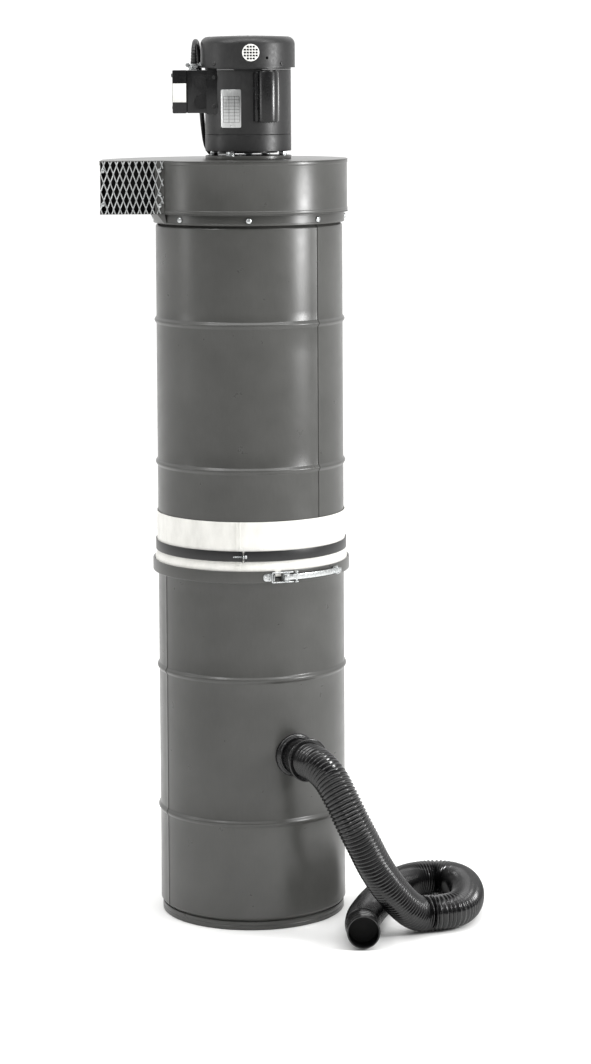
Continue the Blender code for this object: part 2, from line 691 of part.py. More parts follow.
def make_strap(inner, black, zinc):
    """A split band whose ends turn outwards, drawn together by a screw."""
    low, high = STRAP_HEIGHT - STRAP_WIDTH / 2, STRAP_HEIGHT + STRAP_WIDTH / 2
    outer = inner + STRAP_METAL
    lug = 0.0080
    half_gap = math.degrees(0.0015 / inner)
    start = STRAP_BEARING + half_gap
    band = turned("filter_strap", [(inner, low), (outer, low), (outer, high), (inner, high)],
                  black, start=start, sweep=360.0 - 2 * half_gap)
    lug_degrees = math.degrees(STRAP_METAL / inner)
    for first in (start, start - 2 * half_gap - lug_degrees):
        unite(band, turned_mesh("lug", [(inner + 0.0003, low), (outer + lug, low),
                                        (outer + lug, high), (inner + 0.0003, high)],
                                1, first, lug_degrees))
    centre = around(outer + lug * 0.55, STRAP_BEARING, STRAP_HEIGHT)
    along = around(1.0, STRAP_BEARING - 90.0)
    cut(band, rod_mesh("screw_hole", STRAP_SCREW_RADIUS + GAP, centre - along * 0.012,
                       centre + along * 0.012, STEPS_TINY))
    head = 0.0035
    profile = [(0.0, 0.0), (head, 0.0), (head, 0.0030), (STRAP_SCREW_RADIUS, 0.0030),
               (STRAP_SCREW_RADIUS, STRAP_SCREW_LENGTH), (0.0, STRAP_SCREW_LENGTH)]
    screw = turned_mesh("strap_screw", profile, STEPS_SMALL)
    place = centre - along * (0.0015 + 2 * STRAP_METAL + 0.0030)
    add_object("strap_screw", point_at(screw, place, along), zinc)


# ---------------------------------------------------------------- inlet and hose
def make_inlet(black):
    reach = around(1.0, INLET_BEARING)
    centre = Vector((0, 0, INLET_HEIGHT))
    pipe = INLET_BORE_RADIUS + INLET_WALL
    rim = DRUM_RADIUS + INLET_LENGTH
    collar = turned_mesh("inlet_collar", [
        (INLET_BORE_RADIUS, DRUM_INSIDE - INLET_INSIDE), (pipe, DRUM_INSIDE - INLET_INSIDE),
        (pipe, rim - INLET_RIM_THICKNESS), (INLET_RIM_RADIUS, rim - INLET_RIM_THICKNESS),
        (INLET_RIM_RADIUS, rim), (INLET_BORE_RADIUS, rim)], STEPS_MEDIUM)
    add_object("inlet_collar", point_at(collar, centre, reach), black)
    near = math.sqrt(DRUM_RADIUS**2 - INLET_RIM_RADIUS**2) - 0.006
    flange = turned_mesh("inlet_flange", [
        (pipe + GAP, near), (INLET_RIM_RADIUS, near), (INLET_RIM_RADIUS, DRUM_RADIUS + 0.0035),
        (pipe + GAP, DRUM_RADIUS + 0.0035)], STEPS_MEDIUM)
    flange = add_object("inlet_flange", point_at(flange, centre, reach), black)
    wall = turned_mesh("wall", [(0.0, INLET_HEIGHT - 0.08), (DRUM_RADIUS + GAP, INLET_HEIGHT - 0.08),
                                (DRUM_RADIUS + GAP, INLET_HEIGHT + 0.08), (0.0, INLET_HEIGHT + 0.08)],
                       STEPS_LARGE * 2)
    cut(flange, wall)


def make_hose(rubber):
    reach = around(1.0, INLET_BEARING)
    exit_radius = DRUM_RADIUS + INLET_LENGTH + GAP
    start = reach * exit_radius + Vector((0, 0, INLET_HEIGHT))
    straight = start + reach * 0.008
    cuff_start = Vector(HOSE_MOUTH) + Vector((0, HOSE_CUFF_LENGTH + GAP, 0))
    route = [straight] + HOSE_ROUTE + [cuff_start + Vector((0, 0.012, 0))]
    points = [start] + smooth_route(route, HOSE_POINT_SPACING) + [cuff_start]
    cord_tube("suction_hose", points, HOSE_RADIUS, rubber, 3)
    bore = HOSE_CUFF_RADIUS - HOSE_CUFF_WALL
    cuff = turned_mesh("hose_cuff", [(bore, 0.0), (HOSE_CUFF_RADIUS, 0.0),
                                     (HOSE_CUFF_RADIUS, HOSE_CUFF_LENGTH),
                                     (bore, HOSE_CUFF_LENGTH)], STEPS_MEDIUM)
    add_object("hose_cuff", point_at(cuff, HOSE_MOUTH, (0, 1, 0)), rubber)


# ---------------------------------------------------------------- blower
def make_band(steel, zinc):
    """The band around the upper drum's chime, with its radial screws."""
    inner = DRUM_RADIUS + BAND_CLEARANCE
    outer = inner + BAND_METAL
    high = BASE_BOTTOM - GAP
    middle = high - BAND_HEIGHT / 2
    band = turned("blower_band", [(inner, high - BAND_HEIGHT), (outer, high - BAND_HEIGHT),
                                  (outer, high), (inner, high)], steel)
    spots = [around(1.0, 360.0 * i / BAND_SCREWS) for i in range(BAND_SCREWS)]
    raised = Vector((0, 0, middle))
    cut(band, joined_mesh("screw_holes", [
        rod_mesh("hole", BAND_SCREW_SHANK_RADIUS + GAP, spot * (inner - 0.005) + raised,
                 spot * (outer + 0.005) + raised, STEPS_TINY) for spot in spots]))
    head = BAND_SCREW_HEAD_RADIUS
    seat = outer + GAP
    tip = CHIME_OUTER + GAP
    profile = [(0.0, tip), (BAND_SCREW_SHANK_RADIUS, tip),
               (BAND_SCREW_SHANK_RADIUS, seat), (head, seat), (head, seat + 0.0012),
               (head * 0.7, seat + 0.0026), (0.0, seat + 0.0031)]
    for i, spot in enumerate(spots):
        name = f"band_screw_{i + 1}"
        add_object(name, point_at(turned_mesh(name, profile, STEPS_TINY), raised, spot), zinc)


def scroll_radius(bearing):
    """The side wall's radius: round until the back, then growing to the outlet's outer wall."""
    spare = max(0.0, bearing - 180.0) / 90.0
    growth = -OUTLET_LEFT - SCROLL_RADIUS
    return SCROLL_RADIUS + growth * spare**1.4


def scroll_path():
    """Centre of the side wall, from the outlet's inner corner round to its outer wall."""
    corner = OUTLET_RIGHT + OUTLET_FLANGE_WIDTH
    first = math.degrees(math.atan2(corner, -OUTLET_PLANE))
    path = [(corner, OUTLET_PLANE)]
    steps = STEPS_LARGE * 3 // 4
    for i in range(1, steps + 1):
        bearing = first + (270.0 - first) * i / steps
        spot = around(scroll_radius(bearing), bearing)
        path.append((spot.x, spot.y))
    path.append((OUTLET_LEFT, OUTLET_PLANE))
    return path


def offset_path(path, distance):
    """The path moved to its left (positive) with mitred corners."""
    moved = []
    for i, (x, y) in enumerate(path):
        before = Vector(path[max(i - 1, 0)])
        after = Vector(path[min(i + 1, len(path) - 1)])
        here = Vector((x, y))
        into = (here - before).normalized() if i > 0 else (after - here).normalized()
        out = (after - here).normalized() if i < len(path) - 1 else into
        normal_in, normal_out = Vector((-into.y, into.x)), Vector((-out.y, out.x))
        normal = (normal_in + normal_out).normalized()
        reach = distance / max(0.3, normal.dot(normal_in))
        moved.append((x + normal.x * reach, y + normal.y * reach))
    return moved


def make_blower(steel, guard):
    around_wall = scroll_path()
    tongue = [(OUTLET_RIGHT, OUTLET_PLANE + TONGUE_DEPTH), (OUTLET_RIGHT, OUTLET_PLANE)]
    wall = tongue + around_wall
    outline = wall + offset_path(wall, SCROLL_METAL)[::-1]
    prism("blower_scroll", outline, SCROLL_BOTTOM, SCROLL_TOP, steel)
    plate = offset_path(around_wall, -0.0008)
    plate[0] = (plate[0][0], OUTLET_PLANE)
    plate[-1] = (plate[-1][0], OUTLET_PLANE)
    base = prism("blower_base", plate, BASE_BOTTOM, BASE_BOTTOM + PLATE_METAL, steel)
    cut(base, rod_mesh("eye", EYE_RADIUS, (0, 0, BASE_BOTTOM - 0.01), (0, 0, BASE_BOTTOM + 0.02),
                       STEPS_MEDIUM))
    cone_foot = BASE_BOTTOM + PLATE_METAL / 2
    unite(base, turned_mesh("inlet_cone", [
        (EYE_RADIUS - 0.001, cone_foot), (EYE_RADIUS + 0.004, cone_foot),
        (EYE_RADIUS - 0.003, cone_foot + 0.024), (EYE_RADIUS - 0.005, cone_foot + 0.024)],
        STEPS_MEDIUM))
    cover = prism("blower_cover", plate, COVER_BOTTOM, COVER_TOP, steel)
    cut(cover, joined_mesh("cover_holes", bolt_holes(COVER_BOTTOM, COVER_TOP, 0.030)))
    make_outlet_mesh(guard)


def make_outlet_mesh(guard):
    """Expanded metal over the outlet: a flat sheet with staggered diamond holes."""
    low, high = BASE_BOTTOM, COVER_TOP
    left, right = OUTLET_LEFT, OUTLET_RIGHT
    front = OUTLET_PLANE - GAP - MESH_THICKNESS
    sheet = block("outlet_mesh", (left, front, low), (right, front + MESH_THICKNESS, high), guard)
    across, up = MESH_PITCH
    columns = int((right - left) / (across / 2)) - 1
    rows = int((high - low) / (up / 2)) - 1
    x0 = (left + right) / 2 - (columns - 1) * across / 4
    z0 = (low + high) / 2 - (rows - 1) * up / 4
    half_x = (across - MESH_STRAND * 2.2) / 2
    half_z = (up - MESH_STRAND * 4.6) / 2
    holes = []
    for row in range(rows):
        for column in range(columns):
            if (row + column) % 2:
                continue
            x, z = x0 + column * across / 2, z0 + row * up / 2
            diamond = prism_mesh("diamond", [(-half_x, 0), (0, -half_z), (half_x, 0), (0, half_z)],
                                 -0.01, 0.01)
            diamond.transform(Matrix.Translation((x, front, z)) @ Matrix.Rotation(math.pi / 2, 4, "X"))
            holes.append(diamond)
    cut(sheet, joined_mesh("diamonds", holes))


def bolt_holes(low, high, centre_radius):
    """Cutters for the shaft's opening and the four motor bolts."""
    holes = [rod_mesh("centre", centre_radius, (0, 0, low - 0.01), (0, 0, high + 0.01), STEPS_MEDIUM)]
    for i in range(4):
        spot = around(BOLT_CIRCLE_RADIUS, BOLT_FIRST_BEARING + 90.0 * i)
        holes.append(rod_mesh("bolt", BOLT_BORE, spot + Vector((0, 0, low - 0.01)),
                              spot + Vector((0, 0, high + 0.01)), STEPS_SMALL))
    return holes


# ---------------------------------------------------------------- motor
def make_motor_mount(steel, zinc):
    plate = turned("motor_plate", [(0.030, PLATE_BOTTOM), (MOTOR_RADIUS, PLATE_BOTTOM),
                                   (MOTOR_RADIUS, PLATE_TOP), (0.030, PLATE_TOP)],
                   steel, STEPS_MEDIUM)
    cut(plate, joined_mesh("plate_holes", bolt_holes(PLATE_BOTTOM, PLATE_TOP, 0.012)[1:]))
    head_low, head_high = COVER_BOTTOM - GAP - 0.0070, COVER_BOTTOM - GAP
    collar_low, collar_high = PLATE_TOP + GAP, BELL_BOTTOM - GAP
    tip = BELL_BOTTOM + 0.0060
    profile = [(0.0, head_low), (BOLT_HEAD_RADIUS, head_low), (BOLT_HEAD_RADIUS, head_high),
               (BOLT_RADIUS, head_high), (BOLT_RADIUS, collar_low), (BOLT_HEAD_RADIUS, collar_low),
               (BOLT_HEAD_RADIUS, collar_high), (BOLT_RADIUS, collar_high), (BOLT_RADIUS, tip),
               (0.0, tip)]
    for i in range(4):
        name = f"motor_bolt_{i + 1}"
        mesh = turned_mesh(name, profile, 12)
        mesh.transform(Matrix.Translation(around(BOLT_CIRCLE_RADIUS, BOLT_FIRST_BEARING + 90.0 * i)))
        add_object(name, mesh, zinc)


def make_motor_case(enamel):
    boss = BELL_BOTTOM - 0.0040
    floor = BELL_BOTTOM + 0.0080
    seat = floor + 0.0030
    inside = MOTOR_RADIUS - MOTOR_WALL
    pocket = BEARING_RADIUS + GAP
    bore = SHAFT_BORE + 0.0045
    bell = turned("motor_lower_bell", [
        (bore, boss), (0.057, boss), (0.057, BELL_BOTTOM), (MOTOR_RADIUS, BELL_BOTTOM),
        (MOTOR_RADIUS, BELL_TOP), (inside, BELL_TOP), (inside, floor), (pocket + 0.007, floor),
        (pocket + 0.007, seat + BEARING_WIDTH), (pocket, seat + BEARING_WIDTH), (pocket, seat),
        (bore, seat)], enamel, STEPS_MEDIUM)
    cut(bell, joined_mesh("bell_holes", [
        rod_mesh("hole", BOLT_BORE, around(BOLT_CIRCLE_RADIUS, BOLT_FIRST_BEARING + 90.0 * i, boss),
                 around(BOLT_CIRCLE_RADIUS, BOLT_FIRST_BEARING + 90.0 * i, BELL_BOTTOM + 0.0065))
        for i in range(4)]))
    turned("motor_frame", [(inside, FRAME_BOTTOM), (MOTOR_RADIUS, FRAME_BOTTOM),
                           (MOTOR_RADIUS, FRAME_TOP), (inside, FRAME_TOP)], enamel, STEPS_MEDIUM)
    lip = UPPER_BELL_BOTTOM - 0.0150
    upper_seat = UPPER_BELL_BOTTOM - GAP
    turned("motor_upper_bell", [
        (bore, upper_seat), (pocket, upper_seat), (pocket, lip), (pocket + 0.007, lip),
        (pocket + 0.007, UPPER_BELL_BOTTOM), (MOTOR_RADIUS, UPPER_BELL_BOTTOM),
        (MOTOR_RADIUS, UPPER_BELL_TOP), (bore, UPPER_BELL_TOP)], enamel, STEPS_MEDIUM)
    return seat, upper_seat


def make_motor_inside(seat, upper_seat, bright, copper, dark):
    for name, low in (("lower_bearing", seat + GAP),
                      ("upper_bearing", upper_seat - GAP - BEARING_WIDTH)):
        turned(name, [(SHAFT_RADIUS + RUNNING_GAP, low), (BEARING_RADIUS, low),
                      (BEARING_RADIUS, low + BEARING_WIDTH - GAP),
                      (SHAFT_RADIUS + RUNNING_GAP, low + BEARING_WIDTH - GAP)],
               bright, STEPS_MEDIUM)
    turned("stator_core", [(CORE_BORE, CORE_BOTTOM), (CORE_RADIUS, CORE_BOTTOM),
                           (CORE_RADIUS, CORE_TOP), (CORE_BORE, CORE_TOP)], dark, STEPS_MEDIUM)
    sleeve, inner, wide = CORE_BORE - GAP, CORE_BORE - 4 * GAP, CORE_RADIUS - 0.010
    end = 0.0140
    turned("stator_winding", [
        (inner, CORE_BOTTOM - end), (wide, CORE_BOTTOM - end), (wide, CORE_BOTTOM - GAP),
        (sleeve, CORE_BOTTOM - GAP), (sleeve, CORE_TOP + GAP), (wide, CORE_TOP + GAP),
        (wide, CORE_TOP + end), (inner, CORE_TOP + end)], copper, STEPS_MEDIUM)
    turned("rotor_core", [(SHAFT_BORE, CORE_BOTTOM), (ROTOR_RADIUS, CORE_BOTTOM),
                          (ROTOR_RADIUS, CORE_TOP), (SHAFT_BORE, CORE_TOP)], dark, STEPS_MEDIUM)
    top = FAN_COVER_TOP - 0.022
    turned("motor_shaft", [(0.0, SHAFT_BOTTOM), (SHAFT_RADIUS, SHAFT_BOTTOM), (SHAFT_RADIUS, top),
                           (0.0, top)], bright, STEPS_MEDIUM)


def blade_meshes(count, inner, outer, thickness, low, high, lean):
    """Flat blades that lean back from the radius."""
    blades = []
    for i in range(count):
        blade = prism_mesh("blade", block_outline(inner, -thickness / 2, outer, thickness / 2), low, high)
        middle = (inner + outer) / 2
        turn = Matrix.Translation((middle, 0, 0)) @ Matrix.Rotation(math.radians(lean), 4, "Z")
        turn = turn @ Matrix.Translation((-middle, 0, 0))
        blade.transform(Matrix.Rotation(2 * math.pi * i / count, 4, "Z") @ turn)
        blades.append(blade)
    return blades


def make_wheels(metal, plastic):
    back_high = COVER_BOTTOM - 0.0125
    back_low = back_high - 0.0020
    front_low = back_low - WHEEL_WIDTH
    hub_low = SHAFT_BOTTOM + 0.0050
    wheel = turned("impeller", [
        (SHAFT_BORE, hub_low), (HUB_RADIUS, hub_low), (HUB_RADIUS, back_low),
        (WHEEL_RADIUS, back_low), (WHEEL_RADIUS, back_high), (SHAFT_BORE, back_high)],
        metal, STEPS_MEDIUM)
    front = turned_mesh("front_ring", [
        (EYE_RADIUS + 0.006, front_low), (WHEEL_RADIUS, front_low), (WHEEL_RADIUS, front_low + 0.002),
        (EYE_RADIUS + 0.006, front_low + 0.002)], STEPS_MEDIUM)
    blades = blade_meshes(WHEEL_BLADES, EYE_RADIUS - 0.012, WHEEL_RADIUS - 0.006, BLADE_METAL,
                          front_low + 0.001, back_low + 0.001, -28.0)
    unite(wheel, joined_mesh("blades", blades))
    unite(wheel, front)
    fan_low = UPPER_BELL_TOP + 0.0060
    fan = turned("cooling_fan", [
        (SHAFT_BORE, fan_low), (FAN_RADIUS, fan_low), (FAN_RADIUS, fan_low + 0.002),
        (0.018, fan_low + 0.002), (0.018, fan_low + 0.020), (SHAFT_BORE, fan_low + 0.020)],
        plastic, STEPS_MEDIUM)
    unite(fan, joined_mesh("fan_blades", blade_meshes(
        FAN_BLADES, 0.016, FAN_RADIUS - 0.003, 0.0018, fan_low + 0.001, fan_low + 0.022, 0.0)))


def make_fan_cover(enamel):
    outer, top, metal = FAN_COVER_RADIUS, FAN_COVER_TOP, FAN_COVER_METAL
    bend = FAN_COVER_SHOULDER
    profile = [(outer, FAN_COVER_BOTTOM), (outer, top - bend)]
    for degrees in (30, 60):
        angle = math.radians(degrees)
        profile.append((outer - bend * (1 - math.cos(angle)),
                        top - bend * (1 - math.sin(angle)) - 0.002))
    profile += [(outer - bend, top - 0.002), (0.0, top)]
    profile += [(max(0.0, r - metal) if r else 0.0, z - (metal if z > top - bend else 0.0))
                for r, z in reversed(profile)]
    cover = turned("fan_cover", profile, enamel, STEPS_MEDIUM)
    slots = []
    for i in range(10):
        slot = prism_mesh("slot", block_outline(0.022, -0.0035, 0.055, 0.0035), top - 0.02, top + 0.01)
        slot.transform(Matrix.Rotation(2 * math.pi * i / 10, 4, "Z"))
        slots.append(slot)
    cut(cover, joined_mesh("slots", slots))


def make_nameplate(bright):
    inner = MOTOR_RADIUS + GAP
    degrees = math.degrees(NAMEPLATE_WIDTH / inner)
    high = NAMEPLATE_BOTTOM + NAMEPLATE_HEIGHT
    turned("nameplate", [(inner, NAMEPLATE_BOTTOM), (inner + 0.0008, NAMEPLATE_BOTTOM),
                         (inner + 0.0008, high), (inner, high)], bright, 6,
           NAMEPLATE_BEARING - degrees / 2, degrees)


def capacitor_outline(half_width, tip):
    """A flat-backed round housing seen from above, pointing at -Y."""
    start = -MOTOR_RADIUS * 0.85
    points = [(half_width, start)]
    bow = half_width * 0.95
    for degrees in range(0, 181, 20):
        angle = math.radians(degrees)
        points.append((half_width * math.cos(angle), -(tip - bow) - bow * math.sin(angle)))
    points.append((-half_width, start))
    return points


def make_capacitor(black, metal):
    tip = MOTOR_RADIUS + CAPACITOR_COVER_DEPTH
    low, high = CAPACITOR_COVER_BOTTOM, CAPACITOR_COVER_BOTTOM + CAPACITOR_COVER_HEIGHT
    turn = Matrix.Rotation(math.radians(CAPACITOR_BEARING), 4, "Z")
    shell = prism_mesh("capacitor_cover", capacitor_outline(CAPACITOR_COVER_HALF_WIDTH, tip), low, high)
    hollow = prism_mesh("hollow", capacitor_outline(CAPACITOR_COVER_HALF_WIDTH - 0.0016, tip - 0.0016),
                        low + 0.0016, high - 0.0016)
    shell.transform(turn)
    hollow.transform(turn)
    cover = add_object("capacitor_cover", shell, black)
    cut(cover, hollow)
    cut(cover, rod_mesh("motor", MOTOR_RADIUS + GAP, (0, 0, low - 0.01), (0, 0, high + 0.01),
                        STEPS_LARGE * 2))
    middle = MOTOR_RADIUS + (CAPACITOR_COVER_DEPTH - 0.0016) / 2
    centre = (low + high) / 2
    spot = around(middle, CAPACITOR_BEARING)
    rod("capacitor", min(CAPACITOR_RADIUS, (CAPACITOR_COVER_DEPTH - 0.0016) / 2 - 2 * GAP),
        spot + Vector((0, 0, centre - CAPACITOR_LENGTH / 2)),
        spot + Vector((0, 0, centre + CAPACITOR_LENGTH / 2)), metal, STEPS_SMALL)


def make_junction_box(black, zinc):
    saddle = -(MOTOR_RADIUS + SADDLE_THICKNESS)
    body = block("junction_box", (BOX_SPLIT, BOX_FRONT, BOX_BOTTOM),
                 (-MOTOR_RADIUS * 0.72, BOX_BACK, BOX_TOP), black)
    inside_front, inside_back = BOX_FRONT + BOX_WALL, BOX_BACK - BOX_WALL
    inside_low, inside_high = BOX_BOTTOM + BOX_WALL, BOX_TOP - BOX_WALL
    cut(body, prism_mesh("box_hollow", block_outline(BOX_SPLIT - 0.01, inside_front, saddle, inside_back),
                         inside_low, inside_high))
    cut(body, rod_mesh("motor", MOTOR_RADIUS + GAP, (0, 0, BOX_BOTTOM - 0.01), (0, 0, BOX_TOP + 0.01),
                       STEPS_LARGE * 2))
    cover = block("box_cover", (BOX_LEFT, BOX_FRONT, BOX_BOTTOM),
                  (BOX_SPLIT - GAP, BOX_BACK, BOX_TOP), black)
    cut(cover, prism_mesh("cover_hollow", block_outline(BOX_LEFT + BOX_WALL, inside_front,
                                                        BOX_SPLIT + 0.01, inside_back),
                          inside_low, inside_high))
    x, y = CONNECTOR_PLACE
    low = BOX_TOP + GAP
    connector = turned_mesh("cord_connector", [
        (0.0, low), (CONNECTOR_RADIUS, low), (CONNECTOR_RADIUS, low + CONNECTOR_HEIGHT * 0.45),
        (CONNECTOR_RADIUS * 0.75, low + CONNECTOR_HEIGHT * 0.55),
        (CONNECTOR_RADIUS * 0.75, low + CONNECTOR_HEIGHT), (0.0, low + CONNECTOR_HEIGHT)],
        STEPS_SMALL)
    connector.transform(Matrix.Translation((x, y, 0)))
    add_object("cord_connector", connector, zinc)


# ---------------------------------------------------------------- power cord
def make_cord(rubber, bright):
    x, y = CONNECTOR_PLACE
    start = Vector((x, y, BOX_TOP + 2 * GAP + CONNECTOR_HEIGHT))
    reach = COIL_MEAN_RADIUS + COIL_HALF_WIDTH
    coil = turned_mesh("cord_coil", [
        (COIL_MEAN_RADIUS - COIL_HALF_WIDTH, 0.0), (reach, 0.0), (reach, COIL_HEIGHT),
        (COIL_MEAN_RADIUS - COIL_HALF_WIDTH, COIL_HEIGHT)], STEPS_MEDIUM)
    coil.transform(Matrix.Translation((*COIL_PLACE, 0)))
    add_object("cord_coil", coil, rubber)
    side = COIL_PLACE[0] - (reach - CORD_RADIUS)
    # the cord ends just short of the ring that stands for the coil
    end_y = COIL_PLACE[1] - math.sqrt(reach**2 - (reach - 2 * CORD_RADIUS) ** 2) - 0.0035
    end = Vector((side, end_y, CORD_RADIUS + GAP))
    route = [start + Vector((0, 0, 0.008))] + CORD_ROUTE + [end]
    points = [start] + smooth_route(route, CORD_POINT_SPACING)
    cord_tube("power_cord", points, CORD_RADIUS, rubber, 2)
    make_plug(rubber)


def make_plug(rubber):
    """The plug lies flat beside the coil and points at +X."""
    y = COIL_PLACE[1] + PLUG_OFFSET
    start = COIL_PLACE[0] + math.sqrt((COIL_MEAN_RADIUS + COIL_HALF_WIDTH) ** 2
                                      - (PLUG_OFFSET - CORD_RADIUS - 0.0012) ** 2) + GAP
    middle = PLUG_HALF_HEIGHT + GAP
    neck = start + 0.018
    face = neck + PLUG_LENGTH
    side, small = PLUG_HALF_WIDTH, CORD_RADIUS + 0.0012
    outline = [(start, y - small), (neck - 0.004, y - small - 0.0015), (neck + 0.006, y - side),
               (face, y - side), (face, y + side), (neck + 0.006, y + side),
               (neck - 0.004, y + small + 0.0015), (start, y + small)]
    plug = prism("power_plug", outline, GAP, 2 * PLUG_HALF_HEIGHT, rubber)
    pins = [rod_mesh("earth", 0.0024, (face - 0.004, y, middle + 0.004), (face + 0.020, y, middle + 0.004),
                     STEPS_TINY)]
    for side_way in (-1, 1):
        centre = y + side_way * 0.0063
        pins.append(prism_mesh("blade", block_outline(face - 0.004, centre - 0.0008, face + 0.016,
                                                      centre + 0.0008), middle - 0.007, middle - 0.001))
    unite(plug, joined_mesh("pins", pins))


# ---------------------------------------------------------------- everything
def main():
    clear_scene()
    grey_paint = painted("grey_paint", (0.115, 0.115, 0.112), 0.38)
    dark_enamel = painted("dark_enamel", (0.045, 0.045, 0.045), 0.42)
    black_plastic = painted("black_plastic", (0.012, 0.012, 0.012), 0.30)
    black_rubber = painted("black_rubber", (0.010, 0.010, 0.010), 0.35)
    seal_rubber = painted("seal_rubber", (0.020, 0.020, 0.020), 0.70)
    white_cloth = painted("white_cloth", (0.80, 0.80, 0.78), 0.90)
    black_strap = painted("black_strap", (0.014, 0.014, 0.014), 0.45)
    zinc = painted("zinc", (0.62, 0.62, 0.62), 0.30, 1.0)
    galvanised = painted("galvanised_mesh", (0.55, 0.55, 0.55), 0.40, 1.0)
    bright_steel = painted("bright_steel", (0.60, 0.60, 0.60), 0.25, 1.0)
    electrical_steel = painted("electrical_steel", (0.20, 0.20, 0.21), 0.50, 1.0)
    copper = painted("copper", (0.60, 0.28, 0.14), 0.35, 1.0)
    cast_aluminium = painted("cast_aluminium", (0.50, 0.50, 0.50), 0.45, 1.0)

    make_lower_drum(grey_paint)
    make_upper_drum(grey_paint)
    make_gaskets(seal_rubber)
    make_clamp_ring(grey_paint)
    make_brackets(zinc)
    make_lever(zinc)
    make_filter(white_cloth, black_strap, zinc)
    make_inlet(black_plastic)
    make_hose(black_rubber)
    make_band(grey_paint, zinc)
    make_blower(grey_paint, galvanised)
    make_motor_mount(grey_paint, zinc)
    seat, upper_seat = make_motor_case(dark_enamel)
    make_motor_inside(seat, upper_seat, bright_steel, copper, electrical_steel)
    make_wheels(cast_aluminium, black_plastic)
    make_fan_cover(dark_enamel)
    make_nameplate(bright_steel)
    make_capacitor(black_plastic, cast_aluminium)
    make_junction_box(black_plastic, zinc)
    make_cord(black_rubber, bright_steel)


main()
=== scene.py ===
# %% [markdown]
# # A drum-type shop vacuum
# The machine is two steel drums, one upside down on the other, held together by a split
# clamp ring. A blower with its motor sits on top, a cloth filter hangs inside the upper
# drum and shows as a white cuff above the ring, and a corrugated hose leaves the lower
# drum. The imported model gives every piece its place. This lesson builds the visible
# surface of each piece around that frame, in metres, and gives it the finish of the
# real material. Up is +Z, the front is -Y, and a bearing is in degrees from the front
# towards +X.

import math

import bmesh
import bpy
from mathutils import Matrix, Vector, noise


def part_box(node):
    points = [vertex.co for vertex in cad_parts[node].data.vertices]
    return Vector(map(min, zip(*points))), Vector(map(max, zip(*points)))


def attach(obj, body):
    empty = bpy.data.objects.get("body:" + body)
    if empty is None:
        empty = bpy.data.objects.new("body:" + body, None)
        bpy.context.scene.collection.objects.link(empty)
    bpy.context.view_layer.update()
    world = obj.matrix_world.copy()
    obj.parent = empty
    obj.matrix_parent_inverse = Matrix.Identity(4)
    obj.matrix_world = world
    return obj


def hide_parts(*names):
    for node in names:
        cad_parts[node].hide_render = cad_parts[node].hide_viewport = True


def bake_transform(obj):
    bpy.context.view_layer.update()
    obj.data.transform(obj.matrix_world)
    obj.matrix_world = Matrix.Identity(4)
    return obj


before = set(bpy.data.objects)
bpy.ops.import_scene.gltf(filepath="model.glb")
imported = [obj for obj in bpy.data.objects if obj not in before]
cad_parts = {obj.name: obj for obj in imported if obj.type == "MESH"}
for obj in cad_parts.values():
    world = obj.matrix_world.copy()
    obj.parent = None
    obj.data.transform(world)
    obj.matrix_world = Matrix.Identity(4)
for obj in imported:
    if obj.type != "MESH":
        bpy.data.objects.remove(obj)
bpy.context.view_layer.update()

# %% [markdown]
# ## The studio
# Catalogue pictures of machines are made on a white sweep between soft boxes. The room is
# bright above and behind and dim in front, so enamel stays deep where it faces the
# camera. A strong panel at the right and a weak one at the left draw the long highlights
# that show a drum is round, and two high ones pick out the hoops. One even white world
# would be simpler, but every side would come out the same grey. The backdrop and the
# floor are both brighter than white to the camera and so meet without a line.

# %% Camera
camera = bpy.data.objects.new("camera", bpy.data.cameras.new("camera"))
bpy.context.scene.collection.objects.link(camera)
camera.data.sensor_fit = "AUTO"
camera.data.sensor_width = 36.0
camera.data.lens = 97.92
camera.data.shift_y = -0.26
camera.location = (0.0, -5.613, 1.638)
look = Matrix.Rotation(math.radians(-0.92), 4, "Z") @ Matrix.Rotation(math.radians(90 - 3.65), 4, "X")
roll = Matrix.Rotation(math.radians(-0.35), 4, "Z")
camera.matrix_world = Matrix.Translation(camera.location) @ look @ roll
bpy.context.scene.camera = camera
print("camera: lens", camera.data.lens, "mm,", round(camera.location.length, 2), "m from the origin")

# %% World
BACKDROP, ROOM_DIM, ROOM_BRIGHT = 1.12, 0.12, 1.6
BRIGHT_WAY = (0.0, 0.45, 0.89)                              # up and a little to the back
world = bpy.data.worlds.new("white_studio")
bpy.context.scene.world = world
world.use_nodes = True
studio = world.node_tree
direction = studio.nodes.new("ShaderNodeTexCoord").outputs["Generated"]
facing = studio.nodes.new("ShaderNodeVectorMath")          # from -1 to 1, the bright way
facing.operation = "DOT_PRODUCT"
facing.inputs[1].default_value = BRIGHT_WAY
studio.links.new(direction, facing.inputs[0])
room = studio.nodes.new("ShaderNodeMapRange")
studio.links.new(facing.outputs["Value"], room.inputs["Value"])
for socket, value in (("From Min", -0.2), ("From Max", 0.85), ("To Min", ROOM_DIM),
                      ("To Max", ROOM_BRIGHT)):
    room.inputs[socket].default_value = value
paper = studio.nodes.new("ShaderNodeMix")                  # the backdrop itself is plain white paper
studio.links.new(studio.nodes.new("ShaderNodeLightPath").outputs["Is Camera Ray"], paper.inputs["Factor"])
studio.links.new(room.outputs["Result"], paper.inputs["A"])
paper.inputs["B"].default_value = BACKDROP
studio.links.new(paper.outputs["Result"], studio.nodes["Background"].inputs["Strength"])
studio.nodes["Background"].inputs["Color"].default_value = (1.0, 1.0, 1.0, 1.0)
bpy.context.scene.view_settings.view_transform = "Standard"
print("room:", ROOM_DIM, "in front,", ROOM_BRIGHT, "above and behind")


